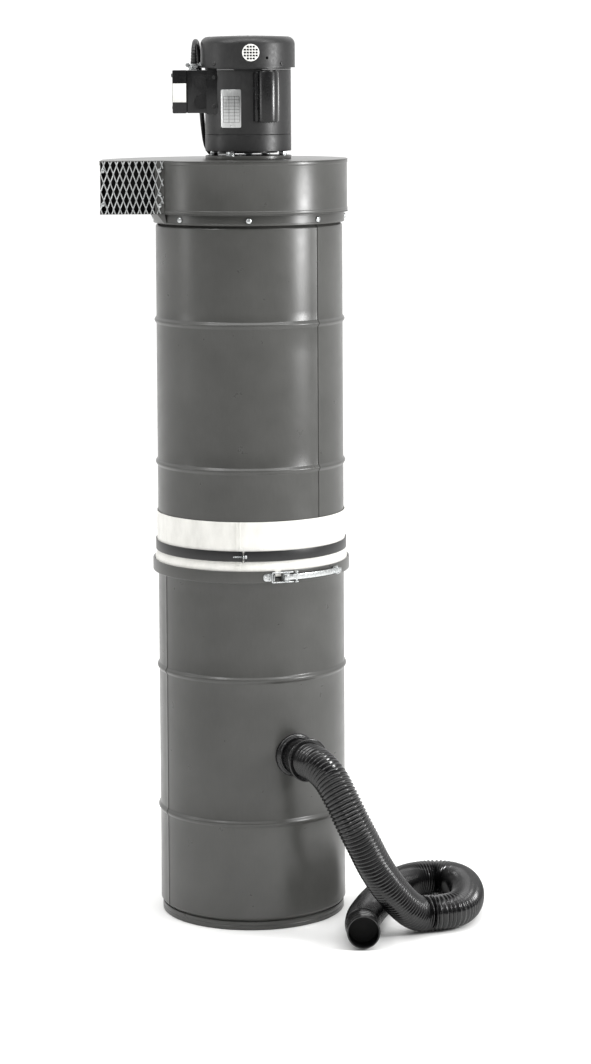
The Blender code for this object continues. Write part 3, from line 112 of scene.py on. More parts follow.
# %% Soft boxes
def soft_box(name, place, target, width, height, brightness):
    """An area light whose surface has the given brightness, turned to the target."""
    light = bpy.data.lights.new(name, "AREA")
    light.shape = "RECTANGLE"
    light.size, light.size_y = width, height
    light.energy = brightness * math.pi * width * height
    panel = bpy.data.objects.new(name, light)
    bpy.context.scene.collection.objects.link(panel)
    panel.location = place
    panel.rotation_euler = (Vector(target) - Vector(place)).to_track_quat("-Z", "Y").to_euler()
    panel.visible_camera = False
    return panel


soft_box("left_panel", (-2.4, -0.35, 1.55), (0.0, 0.0, 1.2), 0.45, 0.9, 4.0)
soft_box("key_panel", (2.27, -1.06, 1.5), (0.0, 0.0, 1.2), 0.45, 0.8, 44.0)
soft_box("top_panel", (0.0, -0.9, 3.4), (0.0, 0.0, 0.6), 2.0, 1.1, 4.0)
for side in (-1, 1):
    soft_box("high_panel", (side * 1.55, -1.25, 2.95), (0.0, 0.0, 1.1), 0.8, 0.6, 11.0)
print("lights: a soft one at the left, the key at the right, two high in front, a wide one above")

# %% [markdown]
# ## Tools for finishes
# Every finish is one Principled surface. Colours are written as the hex values a paint
# card would give, so one function turns them into the linear values a shader wants.
# A second function adds any node with its settings and its links: short enough to read,
# and one is enough for every pattern here.


# %% Colour and node helpers
def from_hex(code):
    """An sRGB hex colour as linear red, green, blue and alpha."""
    parts = [int(code[i:i + 2], 16) / 255 for i in (1, 3, 5)]
    return (*[p / 12.92 if p <= 0.04045 else ((p + 0.055) / 1.055) ** 2.4 for p in parts], 1.0)


def add_node(material, kind, inputs=None, **settings):
    """Adds a node, sets it, and fills its inputs with values or with other nodes' outputs."""
    made = material.node_tree.nodes.new(kind)
    for name, value in settings.items():
        setattr(made, name, value)
    for socket, value in (inputs or {}).items():
        if isinstance(value, bpy.types.NodeSocket):
            material.node_tree.links.new(value, made.inputs[socket])
        else:
            made.inputs[socket].default_value = value
    return made


def new_material(name, **sockets):
    """A material with constants set on its Principled surface."""
    material = bpy.data.materials.new(name)
    material.use_nodes = True
    surface = material.node_tree.nodes["Principled BSDF"]
    for socket, value in sockets.items():
        surface.inputs[socket.replace("_", " ")].default_value = value
    return material, surface


# %% Pattern helpers
def ramp(material, source, stops):
    """Turns a 0-to-1 value into colours at chosen stops."""
    made = add_node(material, "ShaderNodeValToRGB", {"Fac": source})
    elements = made.color_ramp.elements
    for place, colour in stops[2:]:
        elements.new(place)
    for element, (place, colour) in zip(elements, stops):
        element.position = place
        element.color = from_hex(colour) if isinstance(colour, str) else (colour, colour, colour, 1.0)
    return made.outputs["Color"]


def bumped(material, surface, height, depth, strength=1.0):
    """Feeds a height pattern of the given real depth to the surface's normal."""
    bump = add_node(material, "ShaderNodeBump", {"Height": height, "Distance": depth, "Strength": strength})
    material.node_tree.links.new(bump.outputs["Normal"], surface.inputs["Normal"])


def coordinates(material, stretch=(1.0, 1.0, 1.0)):
    """Places on the object in metres, stretched along an axis where a pattern needs it."""
    place = add_node(material, "ShaderNodeTexCoord").outputs["Object"]
    if stretch == (1.0, 1.0, 1.0):
        return place
    return add_node(material, "ShaderNodeMapping", {"Vector": place, "Scale": stretch}).outputs["Vector"]


def speckle(material, vector, size, detail=3.0, roughness=0.55):
    """Soft noise whose blotches are about the given size in metres."""
    return add_node(material, "ShaderNodeTexNoise",
                    {"Vector": vector, "Scale": 1.0 / size, "Detail": detail,
                     "Roughness": roughness}).outputs["Fac"]


print("finish tools ready")

# %% [markdown]
# ## Baked enamel on sheet steel
# The drums, ring and blower are sprayed with grey alkyd enamel and baked. The film is
# smooth but not polished: light spreads a little in it, an orange peel of about 3 mm
# ripples the highlights, and handling leaves duller patches and fine scuffs where the
# steel stands out. The scuffs follow the distance from the drums' axis, so they sit on
# hoops and rims.

# %% Grey enamel
HOOP_CROWN, RIM = 0.1838, 0.1866      # radius where a hoop's crown and a rim stand out


def make_enamel(name, deep, mid, light, gloss, scuffs):
    """Sprayed enamel with patches, grain, orange peel and rubbed high places."""
    material, surface = new_material(name, Metallic=0.0, IOR=1.5)
    place = coordinates(material)
    patches = speckle(material, place, 0.11)
    grain = speckle(material, coordinates(material, (1.0, 1.0, 0.25)), 0.0045, 5.0)
    paint = ramp(material, patches, [(0.3, deep), (0.5, mid), (0.72, light)])
    fine = ramp(material, grain, [(0.3, 0.93), (0.7, 1.0)])
    film = add_node(material, "ShaderNodeMix", {"Factor": 1.0, "A": paint, "B": fine},
                    data_type="RGBA", blend_type="MULTIPLY")
    flat = add_node(material, "ShaderNodeVectorMath", {0: place, 1: (1.0, 1.0, 0.0)}, operation="MULTIPLY")
    radius = add_node(material, "ShaderNodeVectorMath", {0: flat.outputs["Vector"]}, operation="LENGTH")
    high = add_node(material, "ShaderNodeMapRange",
                    {"Value": radius.outputs["Value"], "From Min": HOOP_CROWN,
                                                     "From Max": RIM, "To Max": scuffs})
    rubbed = add_node(material, "ShaderNodeMath",
                      {0: high.outputs["Result"], 1: speckle(material, place, 0.012, 6.0, 0.7)},
                      operation="MULTIPLY")
    worn = ramp(material, rubbed.outputs["Value"], [(0.42, 0.0), (0.7, 0.35)])
    finish = add_node(material, "ShaderNodeMix", {"Factor": worn, "A": film.outputs["Result"],
                                                  "B": from_hex("#8F8F8C")}, data_type="RGBA")
    material.node_tree.links.new(finish.outputs["Result"], surface.inputs["Base Color"])
    rough = add_node(material, "ShaderNodeMapRange", {"Value": speckle(material, place, 0.035, 6.0, 0.6),
                                                      "From Min": 0.3, "From Max": 0.7,
                                                      "To Min": gloss - 0.03, "To Max": gloss + 0.05})
    material.node_tree.links.new(rough.outputs["Result"], surface.inputs["Roughness"])
    bumped(material, surface, speckle(material, place, 0.003, 2.0, 0.4), 0.00002)
    return material


enamel = make_enamel("baked_grey_enamel", "#3C3C3A", "#41413F", "#464644", 0.3, 1.0)
plain_enamel = make_enamel("baked_grey_enamel_blower", "#3C3C3A", "#41413F", "#464644", 0.3, 0.35)
print("enamel scuffs start", round((HOOP_CROWN - 0.181) * 1000, 1), "mm out of the wall")

# %% [markdown]
# ## The motor's black enamel
# The motor's shell is rolled steel dipped in a nearly black enamel. It is thicker and
# a little pebbled, so its highlights are broad and soft.

# %% Motor enamel
motor_enamel, surface = new_material("dipped_black_enamel", Metallic=0.0, IOR=1.5)
place = coordinates(motor_enamel)
motor_tone = ramp(motor_enamel, speckle(motor_enamel, place, 0.018, 6.0, 0.65),
                  [(0.35, "#131314"), (0.6, "#191919"), (0.8, "#202021")])
motor_enamel.node_tree.links.new(motor_tone, surface.inputs["Base Color"])
motor_rough = add_node(motor_enamel, "ShaderNodeMapRange",
                       {"Value": speckle(motor_enamel, place, 0.008, 4.0), "From Min": 0.3, "From Max": 0.7,
                        "To Min": 0.36, "To Max": 0.48})
motor_enamel.node_tree.links.new(motor_rough.outputs["Result"], surface.inputs["Roughness"])
bumped(motor_enamel, surface, speckle(motor_enamel, place, 0.0022, 3.0, 0.5), 0.00005)
print("motor enamel pebbles: 2.2 mm")

# %% [markdown]
# ## Moulded black plastics
# The boxes on the motor and the inlet are moulded ABS, black right through, with a fine
# spark-eroded grain that makes the gloss satin. The hose and the cord's jacket are soft
# PVC: deeper black, smoother, with sharper highlights and a little dust in the valleys.


# %% Black plastics
def make_plastic(name, deep, dusty, gloss, grain, depth):
    """A black polymer with a moulded grain and a thin uneven bloom of dust."""
    material, surface = new_material(name, Metallic=0.0, IOR=1.5)
    place = coordinates(material)
    bloom = speckle(material, place, 0.03, 8.0, 0.7)
    material.node_tree.links.new(ramp(material, bloom, [(0.45, deep), (0.8, dusty)]),
                                 surface.inputs["Base Color"])
    rough = add_node(material, "ShaderNodeMapRange", {"Value": bloom, "From Min": 0.35, "From Max": 0.75,
                                                      "To Min": gloss, "To Max": gloss + 0.12})
    material.node_tree.links.new(rough.outputs["Result"], surface.inputs["Roughness"])
    bumped(material, surface, speckle(material, place, grain, 3.0, 0.5), depth)
    return material


abs_plastic = make_plastic("moulded_black_abs", "#0E0E0F", "#181818", 0.2, 0.0012, 0.00002)
soft_pvc = make_plastic("glossy_black_pvc", "#0B0B0C", "#171717", 0.16, 0.0025, 0.00003)
nitrile = make_plastic("nitrile_rubber", "#101010", "#1D1D1C", 0.6, 0.001, 0.00004)
cord_pvc = make_plastic("cord_jacket_pvc", "#101011", "#1C1C1C", 0.3, 0.0014, 0.00003)
print("black plastics: 4")

# %% [markdown]
# ## Metals
# Zinc plate is bright and slightly cloudy, expanded mesh is galvanised and duller, the
# nameplate is brushed along its length, and the parts inside the motor are ground,
# stacked or cast. All are metals whose colour comes from reflection, so the differences
# are in the colour's level, the roughness and the direction of the scratches.


# %% Metals
def make_metal(name, dark, light, gloss, spread, size, stretch, depth):
    """A bare or plated metal with cloudy or brushed reflections."""
    material, surface = new_material(name, Metallic=1.0)
    lines = speckle(material, coordinates(material, stretch), size, 6.0, 0.6)
    material.node_tree.links.new(ramp(material, lines, [(0.3, dark), (0.7, light)]),
                                 surface.inputs["Base Color"])
    rough = add_node(material, "ShaderNodeMapRange", {"Value": lines, "From Min": 0.3, "From Max": 0.7,
                                                      "To Min": gloss, "To Max": gloss + spread})
    material.node_tree.links.new(rough.outputs["Result"], surface.inputs["Roughness"])
    bumped(material, surface, lines, depth)
    return material


zinc_plate = make_metal("zinc_plated_steel", "#B4B7B8", "#D2D4D4", 0.22, 0.14, 0.004, (1, 1, 1), 0.00001)
galvanised = make_metal("galvanised_mesh", "#A7A9A9", "#C6C8C8", 0.34, 0.16, 0.003, (1, 1, 1), 0.00002)
brushed = make_metal("brushed_aluminium", "#B9BABA", "#DADBDB", 0.26, 0.12, 0.0006, (1, 1, 0.03), 0.00001)
ground_steel = make_metal("ground_steel", "#8E9193", "#ABADAE", 0.2, 0.1, 0.0008, (0.1, 0.1, 1), 0.00001)
lamination = make_metal("stacked_electrical_steel", "#4C4E50", "#707274", 0.42, 0.12, 0.001,
                        (0.02, 0.02, 1), 0.00006)
copper_wire = make_metal("enamelled_copper", "#8A4A26", "#C07A48", 0.3, 0.12, 0.0012, (1, 1, 0.1), 0.0002)
cast_metal = make_metal("cast_aluminium", "#8B8D8E", "#B0B2B2", 0.4, 0.16, 0.003, (1, 1, 1), 0.00006)
print("metals: 7")

# %% [markdown]
# ## Cloth and strap
# The filter is a white cotton sateen: warp and weft about 0.5 mm apart, drawn here at
# 1.4 mm so that the weave shows, with soft creases from being pulled over the rim. The
# creases are bumps and are also painted into the colour as lighter and darker streaks,
# which is painted shade. The strap is a black woven band with a satin face, so it keeps
# a long dull highlight.


# %% Cloth and strap
WAVE, WRAP = 0.314, 0.184             # a wave's length at scale 1, and the cloth's radius


def make_woven(name, shade, light, pitch, depth, rough, **sheen):
    """Crossed threads that run around the drum and upwards."""
    material, surface = new_material(name, Metallic=0.0, **sheen)
    surface.inputs["Roughness"].default_value = rough
    place = coordinates(material)
    parts = add_node(material, "ShaderNodeSeparateXYZ", {"Vector": place})
    bearing = add_node(material, "ShaderNodeMath", {0: parts.outputs["X"], 1: parts.outputs["Y"]},
                       operation="ARCTAN2")
    along = add_node(material, "ShaderNodeMath", {0: bearing.outputs["Value"], 1: WRAP},
                     operation="MULTIPLY")
    flat = add_node(material, "ShaderNodeCombineXYZ",
                    {"X": along.outputs["Value"], "Y": parts.outputs["Z"]})
    threads = []
    for way in ("X", "Y"):
        threads.append(add_node(material, "ShaderNodeTexWave",
                                {"Vector": flat.outputs["Vector"], "Scale": WAVE / pitch,
                                 "Distortion": 0.6},
                                wave_type="BANDS", bands_direction=way).outputs["Fac"])
    weave = add_node(material, "ShaderNodeMath", {0: threads[0], 1: threads[1]}, operation="MULTIPLY")
    # The crease noise feeds the colour as well as the bump: painted crease shade.
    creases = speckle(material, coordinates(material, (1.0, 1.0, 0.45)), 0.03, 5.0, 0.6)
    cloth = add_node(material, "ShaderNodeMath", {0: weave.outputs["Value"], 1: 0.35, 2: creases},
                     operation="MULTIPLY_ADD")
    material.node_tree.links.new(ramp(material, cloth.outputs["Value"], [(0.25, shade), (0.75, light)]),
                                 surface.inputs["Base Color"])
    bumped(material, surface, cloth.outputs["Value"], depth)
    return material


cotton = make_woven("white_cotton_sateen", "#C6C5C0", "#E2E1DC", 0.0014, 0.00035, 0.9,
                    Sheen_Weight=0.25, Sheen_Roughness=0.5)
webbing = make_woven("black_satin_webbing", "#0B0B0C", "#1A1A1B", 0.0016, 0.00008, 0.36)
print("woven: cotton and webbing")

# %% [markdown]
# ## Paper labels
# Plain stickers carry only a generic printed grid, pale and slightly satin.

# %% Label paper, and near-black painted shade for unlit insides
label_paper, surface = new_material("satin_label_paper", Roughness=0.42, IOR=1.45)
fibres = speckle(label_paper, coordinates(label_paper), 0.0012, 4.0)
label_paper.node_tree.links.new(ramp(label_paper, fibres, [(0.3, "#CFCFCB"), (0.7, "#E4E4E0")]),
                                surface.inputs["Base Color"])
bumped(label_paper, surface, fibres, 0.00001)
# Near-black painted shade for insides and bores that light doesn't reach; the mottle only varies its tone.
painted_shade_black, surface = new_material("painted_shade_inside", Roughness=0.85)
shade_mottle = speckle(painted_shade_black, coordinates(painted_shade_black), 0.01, 5.0)
painted_shade_black.node_tree.links.new(ramp(painted_shade_black, shade_mottle, [(0.3, "#070707"), (0.7, "#101010")]),
                                 surface.inputs["Base Color"])
print("labels: plain")

# %% [markdown]
# ## The floor
# A very large pale plane stands for the painted sweep. Its faint mottling is far wider
# than the object, so it reads as a plain surface with a soft shadow at the contact.

# %% Floor
floor_paint, surface = new_material("pale_floor", Roughness=0.75)
mottle = speckle(floor_paint, coordinates(floor_paint), 1.5)
floor_paint.node_tree.links.new(ramp(floor_paint, mottle, [(0.3, "#F3F3F2"), (0.7, "#F7F7F6")]),
                                surface.inputs["Base Color"])
bm = bmesh.new()
bmesh.ops.create_grid(bm, x_segments=4, y_segments=4, size=60.0)
floor_mesh = bpy.data.meshes.new("floor")
bm.to_mesh(floor_mesh)
bm.free()
floor = bpy.data.objects.new("floor", floor_mesh)
bpy.context.scene.collection.objects.link(floor)
floor_mesh.materials.append(floor_paint)
floor.location.z = -0.0004
print("floor: 120 m across")

# %% [markdown]
# ## Tools for shapes
# Nearly everything here is turned, bent or pressed sheet metal. Four small builders
# cover it: a turned outline, a raised outline, a section carried along a line, and a
# round tube. Each returns a plain mesh, so a piece can be cut or joined before it
# gets its finish and its body.


# %% Outlines and places
def around(radius, bearing, height=0.0):
    """A point at a bearing from the front, in degrees towards +X."""
    angle = math.radians(bearing)
    return Vector((radius * math.sin(angle), -radius * math.cos(angle), height))


def oblong(inner, outer, low, high):
    """A four-cornered outline between two distances and two heights."""
    return [(inner, low), (outer, low), (outer, high), (inner, high)]


def softened(outline, radius, steps=3):
    """A closed outline with each corner turned into a small arc."""
    soft = []
    for before, here, after in zip(outline[-1:] + outline[:-1], outline, outline[1:] + outline[:1]):
        before, here, after = Vector(before), Vector(here), Vector(after)
        reach = min(radius, (before - here).length * 0.45, (after - here).length * 0.45)
        start = here + (before - here).normalized() * reach
        end = here + (after - here).normalized() * reach
        for i in range(steps + 1):
            t = i / steps
            soft.append(tuple((1 - t) ** 2 * start + 2 * t * (1 - t) * here + t * t * end))
    return soft


def closed_mesh(name, bm):
    """A mesh with its doubles merged and its faces turned outwards."""
    bmesh.ops.remove_doubles(bm, verts=bm.verts, dist=1e-6)
    bmesh.ops.dissolve_degenerate(bm, edges=bm.edges, dist=1e-7)
    bmesh.ops.recalc_face_normals(bm, faces=bm.faces)
    mesh = bpy.data.meshes.new(name)
    bm.to_mesh(mesh)
    bm.free()
    return mesh


# %% Turned outlines
def turned(name, profile, steps=128, bearings=None, shift=None, whole=True):
    """Turns a closed (radius, height) outline about Z, at even or at given bearings. If it
    isn't whole its two ends are closed; shift(bearing, height) moves the surface in or out."""
    stops = bearings or [360.0 * i / steps for i in range(steps)]
    bm = bmesh.new()
    rings = [[bm.verts.new(around(r + (shift(stop, z) if shift else 0.0), stop, z)) for r, z in profile]
             for stop in stops]
    pairs = list(zip(rings, rings[1:])) + ([(rings[-1], rings[0])] if whole else [])
    for near, far in pairs:
        for i in range(len(profile)):
            j = (i + 1) % len(profile)
            if profile[i][0] > 1e-9 or profile[j][0] > 1e-9:
                bm.faces.new((near[i], near[j], far[j], far[i]))
    if not whole:
        bm.faces.new(rings[0])
        bm.faces.new(rings[-1][::-1])
    return closed_mesh(name, bm)


def arc(start, end, step=2.0):
    """Bearings from one to another, evenly spaced."""
    count = max(2, round(abs(end - start) / step))
    return [start + (end - start) * i / count for i in range(count + 1)]


# %% Raised outlines
def raised(name, outline, low, high, edge=0.0):
    """A flat (x, y) outline raised from one height to another, its edges broken by a bevel."""
    bm = bmesh.new()
    face = bm.faces.new([bm.verts.new((x, y, low)) for x, y in outline])
    lifted = bmesh.ops.extrude_face_region(bm, geom=[face])["geom"]
    bmesh.ops.translate(bm, verts=[g for g in lifted if isinstance(g, bmesh.types.BMVert)],
                        vec=(0, 0, high - low))
    bmesh.ops.recalc_face_normals(bm, faces=bm.faces)
    if edge:
        sharp = [e for e in bm.edges if e.calc_face_angle(0.0) > math.radians(30)]
        bmesh.ops.bevel(bm, geom=sharp, offset=edge, segments=2, profile=0.6, affect="EDGES",
                        clamp_overlap=True)
    return closed_mesh(name, bm)


def slab(name, low, high, edge=0.0):
    """A rectangular block between two corners with broken edges."""
    return raised(name, [(low[0], low[1]), (high[0], low[1]), (high[0], high[1]), (low[0], high[1])],
                  low[2], high[2], edge)


# %% Tubes
def tube(name, path, radius, sides=16):
    """A round tube along the points. The radius may be a function of the distance along."""
    path = [Vector(p) for p in path]
    size = radius if callable(radius) else lambda travelled: radius
    bm = bmesh.new()
    rings, travelled, across = [], 0.0, None
    for i, point in enumerate(path):
        along = (path[min(i + 1, len(path) - 1)] - path[max(i - 1, 0)]).normalized()
        if across is None:
            across = along.orthogonal().normalized()
        across = (across - along * across.dot(along)).normalized()
        if i:
            travelled += (point - path[i - 1]).length
        up = along.cross(across)
        rings.append([bm.verts.new(point + size(travelled) * (across * math.cos(a) + up * math.sin(a)))
                      for a in (2 * math.pi * k / sides for k in range(sides))])
    for near, far in zip(rings, rings[1:]):
        for k in range(sides):
            bm.faces.new((near[k], near[(k + 1) % sides], far[(k + 1) % sides], far[k]))
    bm.faces.new(rings[0])
    bm.faces.new(rings[-1][::-1])
    return closed_mesh(name, bm)


# %% Routes
def smooth_route(points, spacing):
    """Evenly spaced points on a smooth curve through the chosen ones."""
    knots = [Vector(p) for p in points]
    knots = [2 * knots[0] - knots[1]] + knots + [2 * knots[-1] - knots[-2]]
    dense = [knots[1]]
    for a, b, c, d in zip(knots, knots[1:], knots[2:], knots[3:]):
        for step in range(1, 41):
            t = step / 40
            dense.append(0.5 * (2 * b + (c - a) * t + (2 * a - 5 * b + 4 * c - d) * t**2
                                + (3 * b - a - 3 * c + d) * t**3))
    length = sum((b - a).length for a, b in zip(dense, dense[1:]))
    count = max(2, round(length / spacing))
    kept, gone, mark = [dense[0]], 0.0, 1
    for a, b in zip(dense, dense[1:]):
        while mark < count and gone + (b - a).length >= mark * length / count:
            kept.append(a.lerp(b, (mark * length / count - gone) / (b - a).length))
            mark += 1
        gone += (b - a).length
    return kept + [dense[-1]]


def travel(path):
    """Length along the points."""
    return sum((b - a).length for a, b in zip(path, path[1:]))


# %% Moving, joining and cutting
def turn_to(mesh, place, direction):
    """Turns a mesh made along +Z to another direction and moves it there."""
    turn = Vector(direction).to_track_quat("Z", "Y").to_matrix().to_4x4()
    mesh.transform(Matrix.Translation(Vector(place)) @ turn)
    return mesh


def moved(mesh, place):
    """Moves a mesh without turning it."""
    mesh.transform(Matrix.Translation(Vector(place)))
    return mesh


def swung(mesh, degrees):
    """Turns a mesh about the drums' axis."""
    mesh.transform(Matrix.Rotation(math.radians(degrees), 4, "Z"))
    return mesh


def on_wall(mesh, radius, bearing, height):
    """Moves a flat mesh, made facing -Y about the origin, to a round wall at a bearing."""
    mesh.transform(Matrix.Translation(around(radius, bearing, height))
                   @ Matrix.Rotation(math.radians(bearing), 4, "Z"))
    return mesh


def together(name, meshes):
    """Several meshes as one, without cutting them."""
    bm = bmesh.new()
    for mesh in meshes:
        bm.from_mesh(mesh)
    joined = bpy.data.meshes.new(name)
    bm.to_mesh(joined)
    bm.free()
    return joined


def carved(mesh, tool, operation="DIFFERENCE"):
    """The mesh with the tool's shape cut away, or added."""
    thing = bpy.data.objects.new("carving", mesh)
    cutter = bpy.data.objects.new("cutter", tool)
    for each in (thing, cutter):
        bpy.context.scene.collection.objects.link(each)
    carve = thing.modifiers.new("carve", "BOOLEAN")
    carve.operation, carve.solver, carve.object = operation, "EXACT", cutter
    shape = bpy.data.meshes.new_from_object(thing.evaluated_get(bpy.context.evaluated_depsgraph_get()))
    for each in (thing, cutter):
        bpy.data.objects.remove(each)
    shape.materials.clear()
    return shape


# %% Finishing a piece
made = []


def finish_piece(name, mesh, material, body, *nodes, smooth=32.0, slot=None):
    """Shades a mesh or several, gives it its finish and body, and lets it stand for its nodes."""
    mesh = together(name, mesh) if isinstance(mesh, list) else mesh
    thing = bpy.data.objects.new(name, mesh)
    bpy.context.scene.collection.objects.link(thing)
    mesh.materials.clear()
    mesh.materials.append(material)
    mesh.shade_smooth()
    mesh.set_sharp_from_angle(angle=math.radians(smooth))
    if nodes:
        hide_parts(*nodes)
    if body:
        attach(thing, body)
    made.append(name)
    print(f"{name}: {len(mesh.polygons)} faces,",
          " x ".join(f"{side * 1000:.0f}" for side in thing.dimensions), "mm")
    return thing


# %% [markdown]
# ## The suction hose
# A wire-reinforced PVC hose with a rib every 7 mm. It leaves the collar level, droops
# to the floor under its own weight, makes one loop and passes back under its own drop,
# with its open end forward. A tube whose radius rises and falls along its length gives
# real ribs that stay the same size however the hose bends, which a bump could not give
# at the outline. The ribs are 3 mm deep, a little more than real ones, so that they show.

# %% Hose route
INLET_BEARING, INLET_HEIGHT = 27.0, 0.335
HOSE_RADIUS, RIB_PITCH, RIB_DEPTH = 0.0335, 0.0072, 0.003
outward = around(1.0, INLET_BEARING)
hose_exit = outward * 0.2333 + Vector((0, 0, INLET_HEIGHT))
HOSE_KNOTS = [
    (0.1226, -0.2406, 0.333), (0.144, -0.269, 0.316), (0.1643, -0.289, 0.2822),
    (0.1852, -0.297, 0.2389), (0.2065, -0.295, 0.1955), (0.2287, -0.284, 0.1492),
    (0.256, -0.262, 0.103), (0.286, -0.23, 0.061), (0.31, -0.206, 0.039),
    (0.333, -0.193, 0.0345), (0.36, -0.186, 0.0345), (0.386, -0.17, 0.0345),
    (0.404, -0.137, 0.0345), (0.414, -0.09, 0.0345), (0.417, -0.04, 0.0345),
    (0.411, 0.008, 0.0345), (0.393, 0.04, 0.0345), (0.364, 0.054, 0.0345),
    (0.333, 0.047, 0.0345), (0.306, 0.029, 0.0345), (0.281, -0.005, 0.0345),
    (0.258, -0.056, 0.0345), (0.237, -0.115, 0.0345), (0.22, -0.172, 0.0345),
    (0.2085, -0.22, 0.0345), (0.2045, -0.2577, 0.0345),
]
hose_line = smooth_route([hose_exit, hose_exit + outward * 0.008] + HOSE_KNOTS
                         + [(0.2045, -0.2697, 0.0345)], RIB_PITCH / 6)


# %% Hose with ribs
def rib(travelled):
    """Round crowns with narrower valleys between them."""
    wave = 0.5 + 0.5 * math.cos(2 * math.pi * travelled / RIB_PITCH)
    return HOSE_RADIUS - RIB_DEPTH * (1.0 - wave ** 0.7)


hose = finish_piece("suction_hose_ribbed", tube("suction_hose_ribbed", hose_line, rib, 40), soft_pvc,
                    "lower_unit", "suction_hose", smooth=60.0)

# %% Hose end cuff
MOUTH = Vector((0.2045, -0.314, 0.0345))
cuff_profile = softened([(0.0285, 0.0), (0.0313, 0.0), (0.0313, 0.003), (0.0307, 0.0036), (0.0307, 0.006),
                         (0.0313, 0.0066), (0.0313, 0.044), (0.0285, 0.044)], 0.0008, 2)
rings = [turned("ring", softened(oblong(0.0309, 0.0319, z, z + 0.0022),
                                 0.0009, 2), 64) for z in (0.0165, 0.027, 0.038)]
cuff_mesh = turn_to(together("hose_end_cuff", [turned("cuff", cuff_profile, 64)] + rings), MOUTH, (0, 1, 0))
hose_cuff = finish_piece("hose_end_cuff", cuff_mesh, soft_pvc, "lower_unit", "hose_cuff")
# A near-black disc inside the cuff is painted shade for the hose's unlit bore.
bore_shade_disc = turn_to(turned("hose_dark", oblong(0.0, 0.0283, 0.033, 0.0345), 48),
                    MOUTH, (0, 1, 0))
hose_dark = finish_piece("hose_bore_painted_shade", bore_shade_disc, painted_shade_black, "lower_unit", slot="black_rubber")

# %% [markdown]
# ## The power cord
# A three-core PVC cord 9.5 mm thick leaves a metal connector on top of the motor's
# wiring box through a tapered relief, arches back behind the fan cover, lies across the
# blower's top and hangs down behind the drums. The part nobody sees is put away in a
# round coil on the floor: one layer wound inwards and another wound back out on it.

# %% Cord route
CORD_RADIUS = 0.00475
cord_exit = Vector((-0.104, -0.015, 1.6531))
CORD_KNOTS = [
    (-0.104, -0.015, 1.674), (-0.1035, -0.006, 1.688), (-0.1015, 0.01, 1.696),
    (-0.0985, 0.029, 1.693), (-0.0965, 0.043, 1.679), (-0.095, 0.051, 1.655),
    (-0.0935, 0.056, 1.62), (-0.0915, 0.062, 1.57), (-0.0885, 0.07, 1.53),
    (-0.084, 0.083, 1.497), (-0.076, 0.102, 1.479), (-0.066, 0.124, 1.4745),
    (-0.053, 0.153, 1.475), (-0.043, 0.178, 1.4755), (-0.036, 0.2, 1.475),
    (-0.0318, 0.216, 1.468), (-0.0303, 0.226, 1.452), (-0.03, 0.23, 1.43),
    (-0.03, 0.231, 1.4), (-0.03, 0.231, 1.33), (-0.03, 0.231, 0.9),
    (-0.03, 0.231, 0.5), (-0.03, 0.231, 0.11), (-0.03, 0.232, 0.048),
    (-0.03, 0.24, 0.02), (-0.03, 0.26, 0.0056),
]
COIL_CENTRE = Vector((0.0297, 0.301))
OUTER_LANE, LANE, LAYER = 0.0597, 0.0098, 0.0096


def coil_spot(turns):
    """A point of the coil: inwards along the floor for two turns, up, and back outwards."""
    if turns <= 2.0:
        radius = OUTER_LANE - LANE * turns
    elif turns <= 2.25:
        radius = OUTER_LANE - LANE * 2.0
    else:
        radius = OUTER_LANE - LANE * 2.0 + LANE * (turns - 2.25)
    climb = min(max((turns - 2.0) / 0.25, 0.0), 1.0)
    height = CORD_RADIUS + 0.0002 + LAYER * climb * climb * (3 - 2 * climb)
    angle = math.radians(180.0 - 360.0 * turns)
    return Vector((COIL_CENTRE.x + radius * math.cos(angle), COIL_CENTRE.y + radius * math.sin(angle),
                   height))


coil = [coil_spot(i / 24) for i in range(0, 79)]
TAIL = [(0.043, 0.3505, 0.0143), (0.056, 0.3482, 0.0132), (0.068, 0.3452, 0.0113),
        (0.076, 0.3441, 0.0104), (0.09, 0.344, 0.0103)]
cord_line = smooth_route([cord_exit, cord_exit + Vector((0, 0, 0.008))] + CORD_KNOTS + coil + TAIL, 0.006)

# %% Cord jacket
cord = finish_piece("power_cord_jacket", tube("power_cord_jacket", cord_line, CORD_RADIUS, 16), cord_pvc,
                    None, "power_cord", "cord_coil", smooth=60.0)

# %% Cord's relief and plug
relief_line = [cord_exit + Vector((0, 0, -0.009 + 0.001 * i)) for i in range(28)]
relief_line += [p for p in cord_line if 0.019 < (p - cord_exit).length < 0.03 and p.z < 1.684]


def relief_size(travelled):
    """A cone that thins out, with four rings moulded round it."""
    taper = 0.007 - 0.0018 * min(travelled / 0.036, 1.0)
    groove = 0.0007 if travelled > 0.01 and math.sin(2 * math.pi * travelled / 0.0055) < -0.3 else 0.0
    return taper - groove


relief = finish_piece("cord_relief", tube("cord_relief", smooth_route(relief_line, 0.0011), relief_size,
                                          20),
                      cord_pvc, "upper_unit", smooth=50.0)
PLUG_Y, PLUG_START = 0.344, 0.0828
neck, face = PLUG_START + 0.018, PLUG_START + 0.058
body = raised("plug", softened([(PLUG_START, PLUG_Y - 0.0062), (neck - 0.004, PLUG_Y - 0.0075),
                                (neck + 0.006, PLUG_Y - 0.013), (face, PLUG_Y - 0.013),
                                (face, PLUG_Y + 0.013), (neck + 0.006, PLUG_Y + 0.013),
                                (neck - 0.004, PLUG_Y + 0.0075), (PLUG_START, PLUG_Y + 0.0062)], 0.004, 4),
              0.0004, 0.02, 0.0022)
plug = finish_piece("mains_plug_body", body, cord_pvc, "lower_unit", "power_plug", smooth=40.0)
pins = [turn_to(turned("earth", softened(oblong(0.0, 0.0024, 0.0, 0.02), 0.001, 2),
                       20), (face, PLUG_Y, 0.0143), (1, 0, 0))]
